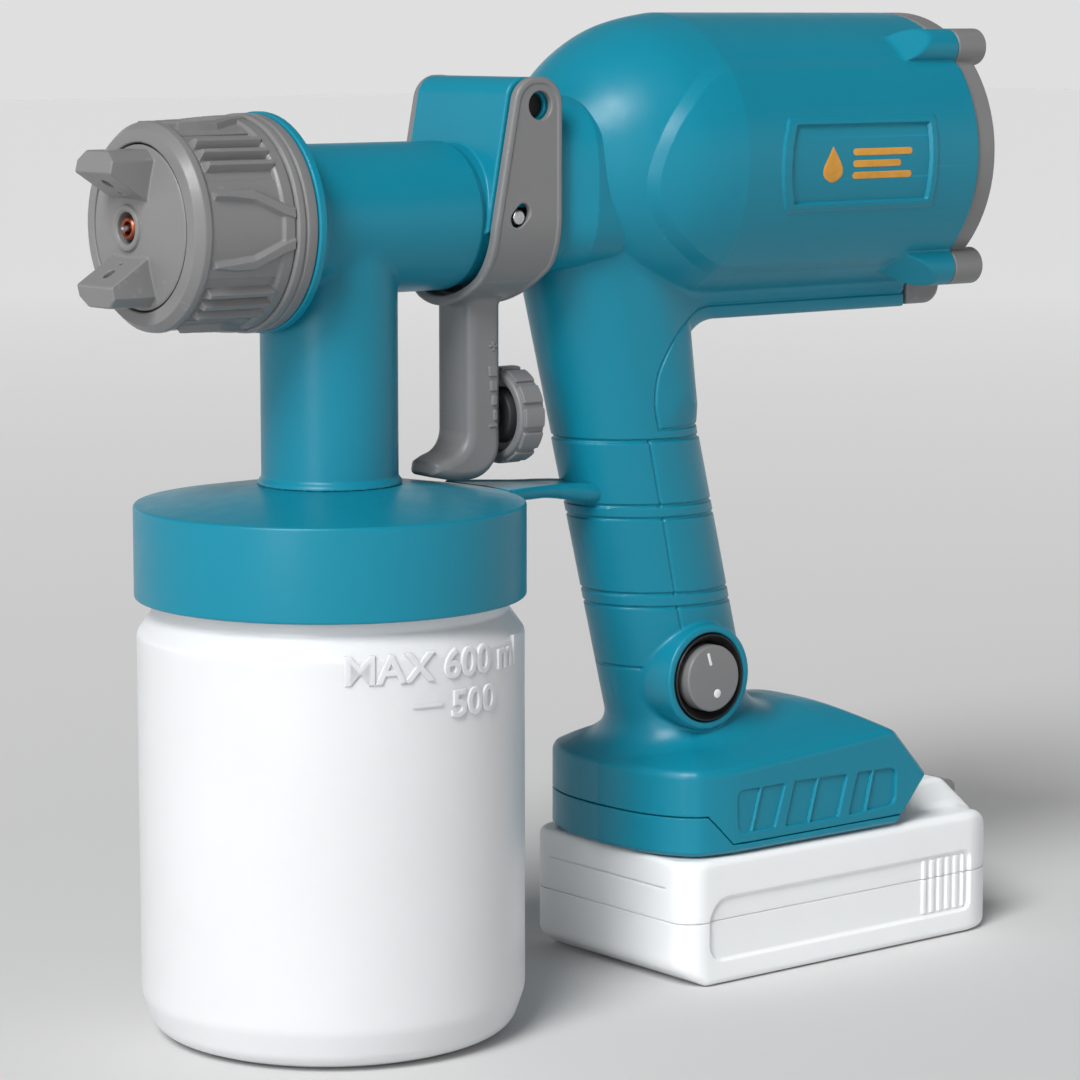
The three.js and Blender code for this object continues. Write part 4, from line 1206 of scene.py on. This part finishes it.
def trigger_field(x, y, z):
    oval_out = np.where(z > TUBE_Z, np.abs(y) - 21, ellipse(y, z - TUBE_Z, 21, 22.3))
    oval_in = np.where(z > TUBE_Z, np.abs(y) - 18.65, ellipse(y, z - TUBE_Z, 18.75, 19.8))
    side = YOKE_SIDE(x, z)
    lip = ramp((side + 1.9) / 0.5)
    yoke = both(oval_out, side, 0.85)
    yoke = less(yoke, oval_in, 0.35)
    yoke = yoke + 0.28 * (1 - lip)
    blade = both(BLADE_SIDE(x, z), np.abs(y) - 7 + 2.2 * ramp((33 - x) / 8), 2.6)
    blade = np.maximum(blade, z - 180.4)
    d = union(yoke, blade, 1.6)
    emblem = trigger_marks(x, z)
    d = np.where((np.abs(y) > 5) & (x < 50) & (z < 172), d - 0.5 * ramp(-emblem / 0.3 + 0.4), d)
    pivot = np.hypot(x - PIVOT_X, z - PIVOT_Z) - 3.5
    s = math.sqrt(0.5)
    along = (x - PIN_X - 0.4) * s + (z - TUBE_Z - 0.4) * s
    over = -(x - PIN_X - 0.4) * s + (z - TUBE_Z - 0.4) * s
    slot = np.hypot(np.maximum(np.abs(along) - 1.15, 0), over) - 2.15
    d = less(d, np.minimum(pivot, np.where(np.abs(y) > 15, slot, 9)), 0.4)
    bore = np.hypot(y, z - KNOB_Z) - 3.3
    return less(d, np.maximum(bore, 40.5 - x), 0.3)


def trigger_marks(x, z):
    """A plus, a rising row of bars and a minus: which way the knob turns the flow up."""
    plus = np.minimum(np.maximum(np.abs(x - 45.1) - 1.25, np.abs(z - 167.3) - 0.35),
                      np.maximum(np.abs(x - 45.1) - 0.35, np.abs(z - 167.3) - 1.25))
    minus = np.maximum(np.abs(x - 45.1) - 1.3, np.abs(z - 147.3) - 0.4)
    d = np.minimum(plus, minus)
    for i, reach in enumerate((1.3, 1.05, 0.8, 0.55)):
        low = 162.3 - i * 3.7
        d = np.minimum(d, rect(x, z, 46.3 - 2 * reach, 46.3, low - 2.6, low, 0.3))
    return d


def knob_field(x, y, z):
    up = z - KNOB_Z
    r = np.hypot(y, up)
    body = both(r - 11.4, box1(x, 50.6, 58.4), 0.9)
    turn = np.arctan2(up, y) * 12 / (2 * math.pi)
    part = np.abs(turn - np.round(turn)) * 2 * math.pi / 12 * 11.6
    pad = both(both(r - 12.25, part - 2.35, 0.4), np.maximum(box1(x, 51.6, 57.7), 9 - r), 0.3)
    d = union(body, pad, 0.2)
    dish = np.maximum(r - 9.4, x - 53.6)
    d = less(d, dish, 0.4)
    back = both(r - 9.3, 57.6 - x, 0.2)
    d = less(d, back, 0.3)
    return less(d, np.maximum(r - 3.25, x - 56), 0.2)


def trigger_parts():
    carve_unit("trigger_body", trigger_field, "trigger", "trigger", "grey_plastic",
               (26.5, -21.3, 133.3), (57, 21.3, 234.4), 0.27, 190_000, 0.8)
    carve_unit("flow_knob_body", knob_field, "knob", "flow_knob", "grey_plastic",
               (50.2, -12.6, 136.4), (58.8, 12.6, 161.6), 0.2, 90_000, 0.8)
    # The hub in the knob's dish is dark plastic: painted shade, for the shadowed front of the knob facing the
    # blade.
    rod = [(41, 0), (41, 3, 0.5), (50.9, 3), (50.9, 6.4, 0.6), (53.4, 7.2, 0.2), (53.4, 3), (55.6, 3, 0.3),
           (55.6, 0)]
    lathe("flow_screw_rod", rod, 4, 0, (0, 0, KNOB_Z), 64, "knob", "flow_screw", "dark_plastic")
    pin = [(-17.2, 0), (-17.2, 3.05, 0.2), (17.2, 3.05, 0.2), (17.2, 0)]
    pivot = lathe("trigger_pivot", pin, 5, 1, (PIVOT_X, 0, PIVOT_Z), 64, "gun_body", "trigger_pivot_pin",
                  "steel")
    # The steel pin is coloured near-black: painted shade, so that its bore in the spray head reads as a dark
    # hole.
    pivot.data.materials[0] = shadow()
    cross = [(-20.6, 0), (-20.6, 1.8, 0.5), (20.6, 1.8, 0.5), (20.6, 0)]
    lathe("needle_cross_rod", cross, 5, 1, (PIN_X, 0, TUBE_Z), 48, "needle", "needle_cross_pin", "steel")


# ---------------------------------------------------------------- rear cover
TAB_SIDE = Outline(rounded([(BARREL_END + 0.12, 171.2, 0.5), (195.8, 171.2, 5), (197, 178, 3), (195, 184),
                            (BARREL_END + 0.12, 184)]), 0.2, 8)


def rear_cover_field(x, y, z):
    up = z - BARREL_Z
    r = np.hypot(y, up)
    ring = both(r - BARREL_R, box1(x, BARREL_END + 0.12, COVER_END), 0.9)
    lobes = None
    holes = None
    for cy, cz in BOSSES:
        out = np.hypot(y - cy, z - cz)
        lobe = both(out - BOSS_R, box1(x, BARREL_END + 0.12, 194.6), 0.5)
        hole = np.minimum(out - 2.1, np.maximum(out - 3.6, 191.4 - x))
        lobes = lobe if lobes is None else np.minimum(lobes, lobe)
        holes = hole if holes is None else np.minimum(holes, hole)
    d = union(ring, lobes, 0.5)
    tab = both(TAB_SIDE(x, z), np.abs(y) - 12, 2)
    d = union(d, tab, 0.5)
    d = less(d, np.maximum(r - 33.6, x - COVER_END + 2.6), 0.3)
    count = 14
    turn = np.arctan2(up, y) * count / (2 * math.pi)
    across = (turn - np.round(turn)) * 2 * math.pi / count * r
    slot = np.hypot(np.maximum(np.abs(r - 21.5) - 7.2, 0), across) - 2.0
    hub = np.hypot(r, x - COVER_END - 14) - 16.2
    d = less(d, np.maximum(slot, 187 - x), 0.5)
    d = less(d, hub, 0.4)
    rim_cut = np.hypot(r - 31.5, x - COVER_END) - 0.6
    return less(less(d, rim_cut, 0.2), holes, 0.3)


# ---------------------------------------------------------------- switch
RAKE_COS, RAKE_SIN = 0.970, 0.2425


def rocker_face(along):
    """Where the rocker's dished face lies, at a distance along it from its middle."""
    return SWITCH_FACE - 1.75 + 0.0035 * along * along + 0.03 * along


def rocker_field(x, y, z):
    u, v = x - SWITCH_X, z - SWITCH_Z
    along = -RAKE_SIN * u + RAKE_COS * v
    r = np.hypot(u, v)
    face = rocker_face(along)
    return both(both(r - 8.7, y - (SWITCH_FACE + 2.6), 0.3), (face - y) * 0.99, 0.55)


def switch_field(x, y, z):
    r = np.hypot(x - SWITCH_X, z - SWITCH_Z)
    bezel = both(r - 11.45, box1(y, SWITCH_FACE - 0.35, -6), 0.5)
    cone = (r - 9.15) * 0.8 + (y - SWITCH_FACE - 2.2) * 0.6
    well = np.maximum(r - 9.15, y - SWITCH_FACE - 5.5)
    return less(bezel, np.minimum(well, np.maximum(cone, y - SWITCH_FACE - 2.2)), 0.3)


def on_rocker(points, lift):
    """Points drawn along and across the rocker, laid on its face."""
    out = []
    for across, along in points:
        x = SWITCH_X + RAKE_COS * across - RAKE_SIN * along
        z = SWITCH_Z + RAKE_SIN * across + RAKE_COS * along
        y = rocker_face(along) - lift
        out.append((x, y, z))
    return out


def rocker_marks():
    shapes = [rounded([(-0.42, 3.6, 0.4), (0.42, 3.6, 0.4), (0.42, 7.0, 0.4), (-0.42, 7.0, 0.4)], 6),
              np.array([(1.15 * math.cos(t) + 0.1, 1.15 * math.sin(t) - 4.2)
                        for t in np.linspace(0, 2 * math.pi, 33)[:-1]])]
    vertices, faces = [], []
    for shape in shapes:
        inner = shape.mean(0) + (shape - shape.mean(0)) * 0.86
        rings = [on_rocker(shape, -0.1), on_rocker(shape, 0.06), on_rocker(inner, 0.12)]
        add_plaque(vertices, faces, rings)
    piece = new_object("rocker_marks", vertices, faces)
    finish_mesh(piece, 30)
    place(piece, "rocker", None, "grey_plastic")
    piece.data.materials[0] = marking()


# ---------------------------------------------------------------- battery
BATTERY_PLAN = Outline(rounded([
    (87.5, -32.2, 8), (205, -32.2, 15), (205, 32.2, 15), (87.5, 32.2, 8)], 14), 0.3, 10)
BATTERY_SIDE = Outline(rounded([
    (96, 0, 3), (205, 0, 5), (205, 33.4, 13), (87.5, 33.4, 1.5), (87.5, 5, 4)], 10), 0.3, 10)
HUMP_SIDE = Outline(rounded([(178, 26), (178, 41.4, 3), (191, 41.4, 6), (203, 31, 4), (203, 26)], 10), 0.3, 8)
BATTERY_SPLIT = 17
GRIP_PANEL = Outline(rounded([(96, 6, 5), (191.5, 6, 3), (191.5, 23.5, 3), (96, 23.5, 7)], 10), 0.2, 8)


def battery_field(x, y, z):
    side = np.abs(y)
    plan, profile = BATTERY_PLAN(x, y), BATTERY_SIDE(x, z)
    block = both(plan, profile, 2.2)
    block = block + 0.9 * ramp(-GRIP_PANEL(x, z) / 1.1) * (side > 20)
    ribbed = (x > 172) & (x < 189) & (side > 20) & (z > 7.5) & (z < 22)
    block = block - np.where(ribbed, 0.55 * ramp(np.cos(x * 2 * math.pi / 3.0) * 1.2 + 0.5), 0)
    deck = both(rect(x, y, 94, 172, -21, 21, 3), z - 42, 0.8)
    hump = both(HUMP_SIDE(x, z), side - 21, 1.5)
    d = union(union(block, np.maximum(deck, 28 - z), 1.0), hump, 1.8)
    inner = np.maximum(plan + 2.4, np.abs(z - 16.7) - 14.5)
    inner = np.maximum(inner, 89.7 - x)
    inner = np.maximum(inner, profile + 2.2)
    inner = np.minimum(inner, np.maximum(rect(x, y, 96, 170, -17.9, 17.9, 2), np.abs(z - 33.6) - 6.2))
    d = less(d, inner, 0.2)
    pocket = np.maximum(rect(y, z, -11.4, 11.4, 27, 44, 2), 192.5 - x)
    d = less(d, pocket, 0.4)
    ways = np.maximum(np.abs(side - 25.2) - 6.3, np.maximum(np.abs(z - 35.15) - 1.75, x - 162))
    d = less(d, ways, 0.3)
    front = groove(d, np.abs(z - 25.5), 0.35)
    return np.where((x < 92) & (side < 24), front, d)


def tray_field(x, y, z):
    return both(battery_field(x, y, z), z - (BATTERY_SPLIT - 0.07), 0.25)


def cover_field(x, y, z):
    return both(battery_field(x, y, z), BATTERY_SPLIT + 0.07 - z, 0.25)


def button_field(x, y, z):
    d = both(rect(y, z, -11, 11, 27.4, 37, 2), box1(x, 196.5, 206.4), 0.9)
    ridged = (x > 204) * (np.abs(y) < 8.5) * (np.abs(z - 32) < 3.4)
    return d + 0.35 * ramp(np.cos(z * 2 * math.pi / 2.1) + 0.3) * ridged


# ---------------------------------------------------------------- screws and inner pieces
def screw(name, axis, head, centre, length, radius, shank):
    """Pan-head screw with a cross recess; head is where the head's top lies along the axis."""
    def field(x, y, z):
        p = [x - centre[0], y - centre[1], z - centre[2]]
        a = p[axis] - head
        u, v = p[(axis + 1) % 3], p[(axis + 2) % 3]
        r = np.hypot(u, v)
        cap = both(r - radius, box1(a, -2.1, 0), 0.45)
        rod = both(r - shank, box1(a, -length, -1), 0.2)
        cross = np.minimum(np.maximum(np.abs(u) - 0.36, np.abs(v) - 1.7),
                           np.maximum(np.abs(v) - 0.36, np.abs(u) - 1.7))
        return less(np.minimum(cap, rod), np.maximum(cross, -1.3 - a), 0.1)
    low = [c - radius - 0.2 for c in centre]
    high = [c + radius + 0.2 for c in centre]
    low[axis], high[axis] = head - length - 0.2, head + 0.2
    carve_unit(name + "_cross", field, "gun_body", name, "steel", low, high, 0.26, 9000, 0.8)


def screws():
    for number, (y, z) in enumerate(BOSSES, 1):
        screw(f"cover_screw_{number}", 0, 193.9, (0, y, z), 18, 3.2, 1.7)
    for number, (x, z, seat) in enumerate(HOUSING_SCREWS, 1):
        screw(f"housing_screw_{number}", 1, seat + 2.4, (x, 0, z), seat + 10, 2.8, 1.6)


SPRING_START = 51.2
SPRING_LENGTH = 18


def coil():
    """The needle's return spring, built at rest; the real one closes up as the trigger is pulled, which this
    mesh is not made to do.
    """
    turns, wire_r, coil_r = 6, 0.55, 4.3
    steps, sides = turns * 28, 10
    t = np.linspace(0, 1, steps + 1)
    pitch = np.interp(t, [0, 0.1, 0.9, 1], [0, 0.03, 0.97, 1])
    centre = np.stack([SPRING_START + SPRING_LENGTH * pitch, coil_r * np.cos(2 * math.pi * turns * t),
                       TUBE_Z + coil_r * np.sin(2 * math.pi * turns * t)], -1)
    forward = np.gradient(centre, axis=0)
    forward /= np.linalg.norm(forward, axis=1, keepdims=True)
    out = centre - np.stack([centre[:, 0], 0 * t, 0 * t + TUBE_Z], -1)
    out /= np.linalg.norm(out, axis=1, keepdims=True)
    over = np.cross(forward, out)
    vertices = []
    for k in range(sides):
        a = 2 * math.pi * k / sides
        vertices.append(centre + wire_r * (math.cos(a) * out + math.sin(a) * over))
    vertices = np.stack(vertices, 1).reshape(-1, 3)
    faces = ring_faces(0, sides, steps + 1)
    faces.append(tuple(range(sides)))
    faces.append(tuple(steps * sides + k for k in range(sides)))
    piece = finish_mesh(new_object("needle_spring_coil", vertices, faces), 60)
    place(piece, "gun_body", "needle_spring", "steel")
    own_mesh(piece)


def inner_parts():
    centre = (0, 0, BARREL_Z)
    can = [(98, 2.9), (98, 17, 0.6), (100, 21.5, 1.2), (112, 21.5), (137, 21.5, 1), (139.6, 16, 0.6),
           (139.6, 2.9)]
    lathe("motor_can_body", can, 5, 0, centre, 96, "gun_body", "motor_can", "steel")
    shaft = [(94, 0), (94, 2.4, 0.4), (170, 2.4, 0.4), (170, 0)]
    lathe("motor_shaft_rod", shaft, 4, 0, centre, 48, "rotor", "motor_shaft", "steel")
    cell = [(100, 0), (100, 8.2, 0.6), (100.3, 9, 0.4), (162.4, 9, 0.4), (162.8, 8.6, 0.3), (163.4, 9, 0.4),
            (164.4, 9, 0.5), (164.4, 3.2), (165, 3.0, 0.2), (165, 0)]
    cells = [(-19, 11.6), (0, 11.6), (19, 11.6), (-9.2, 27.9), (9.2, 27.9)]
    for number, (y, z) in enumerate(cells, 1):
        node = f"battery_cell_{number}"
        lathe(f"{node}_sleeve", cell, 5, 0, (0, y, z), 64, "battery", node, "cell_wrap")


# ---------------------------------------------------------------- emblem
def emblem():
    """A generic amber device on each side: a drop and three bars, like a fan of spray."""
    drop = smooth_line([(0, 4.6), (1.9, 1.6), (3.3, -1.0), (2.9, -3.2), (0, -4.6), (-2.9, -3.2), (-3.3, -1.0),
                        (-1.9, 1.6), (0, 4.6)], 0.5)[:-1]
    shapes = [drop + np.array([132, 211])]
    for x1, z in ((160, 214.0), (156, 211.0), (160, 208.0)):
        shapes.append(rounded([(139, z - 0.9, 0.9), (x1, z - 0.9, 0.9), (x1, z + 0.9, 0.9),
                               (139, z + 0.9, 0.9)], 6))
    for side, name in ((-1, "left"), (1, "right")):
        vertices, faces = [], []
        for shape in shapes:
            middle = shape.mean(0)
            rings = []
            for share, lift in ((1, -0.15), (1, 0.05), (0.97, 0.09), (0.75, 0.09), (0.5, 0.09), (0.25, 0.09)):
                ring = middle + (shape - middle) * share if share < 1 else shape
                reach = BARREL_R + PANEL_RISE + FRAME_RISE - EMBLEM_SINK + lift
                rings.append([(x, side * math.sqrt(reach ** 2 - (z - BARREL_Z) ** 2), z) for x, z in ring])
            add_plaque(vertices, faces, rings)
        piece = finish_mesh(new_object(f"emblem_{name}", vertices, faces), 40)
        place(piece, "gun_body", None, "teal_plastic")
        piece.data.materials[0] = amber()


# ---------------------------------------------------------------- build
def carried_over():
    slots = {s["node"]: s["material_slot"] for s in frame["record"]["subparts"]}
    for name, node in frame["nodes"].items():
        if node.hide_render:
            continue
        for held in node.material_slots:
            held.material = LOOKS[slots[name]]()


camera()
studio()
housing()
cup_and_lid()
carve_unit("lid_arm_plate", arm_field, "gun_body", "lid_arm", "teal_plastic",
           (44, -14.8, 124.5), (84, 14.8, 132.5), 0.3, 60_000, 1.0)
carve_unit("spray_head_body", spray_head_field, "gun_body", "spray_head", "teal_plastic",
           (-21.6, -27, 118.8), (77, 27, 234.6), 0.42, 200_000, 1.5)
nozzle_parts()
trigger_parts()
carve_unit("rear_cover_body", rear_cover_field, "gun_body", "rear_cover", "grey_plastic",
           (183.8, -38, 170), (197.6, 38, 250), 0.36, 130_000, 0.8)
carve_unit("switch_bezel", switch_field, "gun_body", "switch_body", "black_plastic",
           (94.6, -20.6, 66.6), (118.2, -5.6, 90.2), 0.24, 50_000, 0.8)
carve_unit("rocker_button", rocker_field, "rocker", "switch_rocker", "grey_plastic",
           (97.3, -22.6, 69.3), (115.5, -16.8, 87.5), 0.2, 40_000, 0.8)
rocker_marks()
carve_unit("battery_tray_shell", tray_field, "battery", "battery_tray", "battery_plastic",
           (87, -32.8, -0.4), (205.6, 32.8, 17.4), 0.42, 120_000, 1.0)
carve_unit("battery_cover_shell", cover_field, "battery", "battery_cover", "battery_plastic",
           (87, -32.8, 16.6), (205.6, 32.8, 42.6), 0.42, 150_000, 1.0)
carve_unit("battery_button_cap", button_field, "battery_button", "battery_release_button", "grey_plastic",
           (196, -11.6, 26.8), (207, 11.6, 37.6), 0.24, 30_000, 0.8)
screws()
coil()
inner_parts()
emblem()
carried_over()
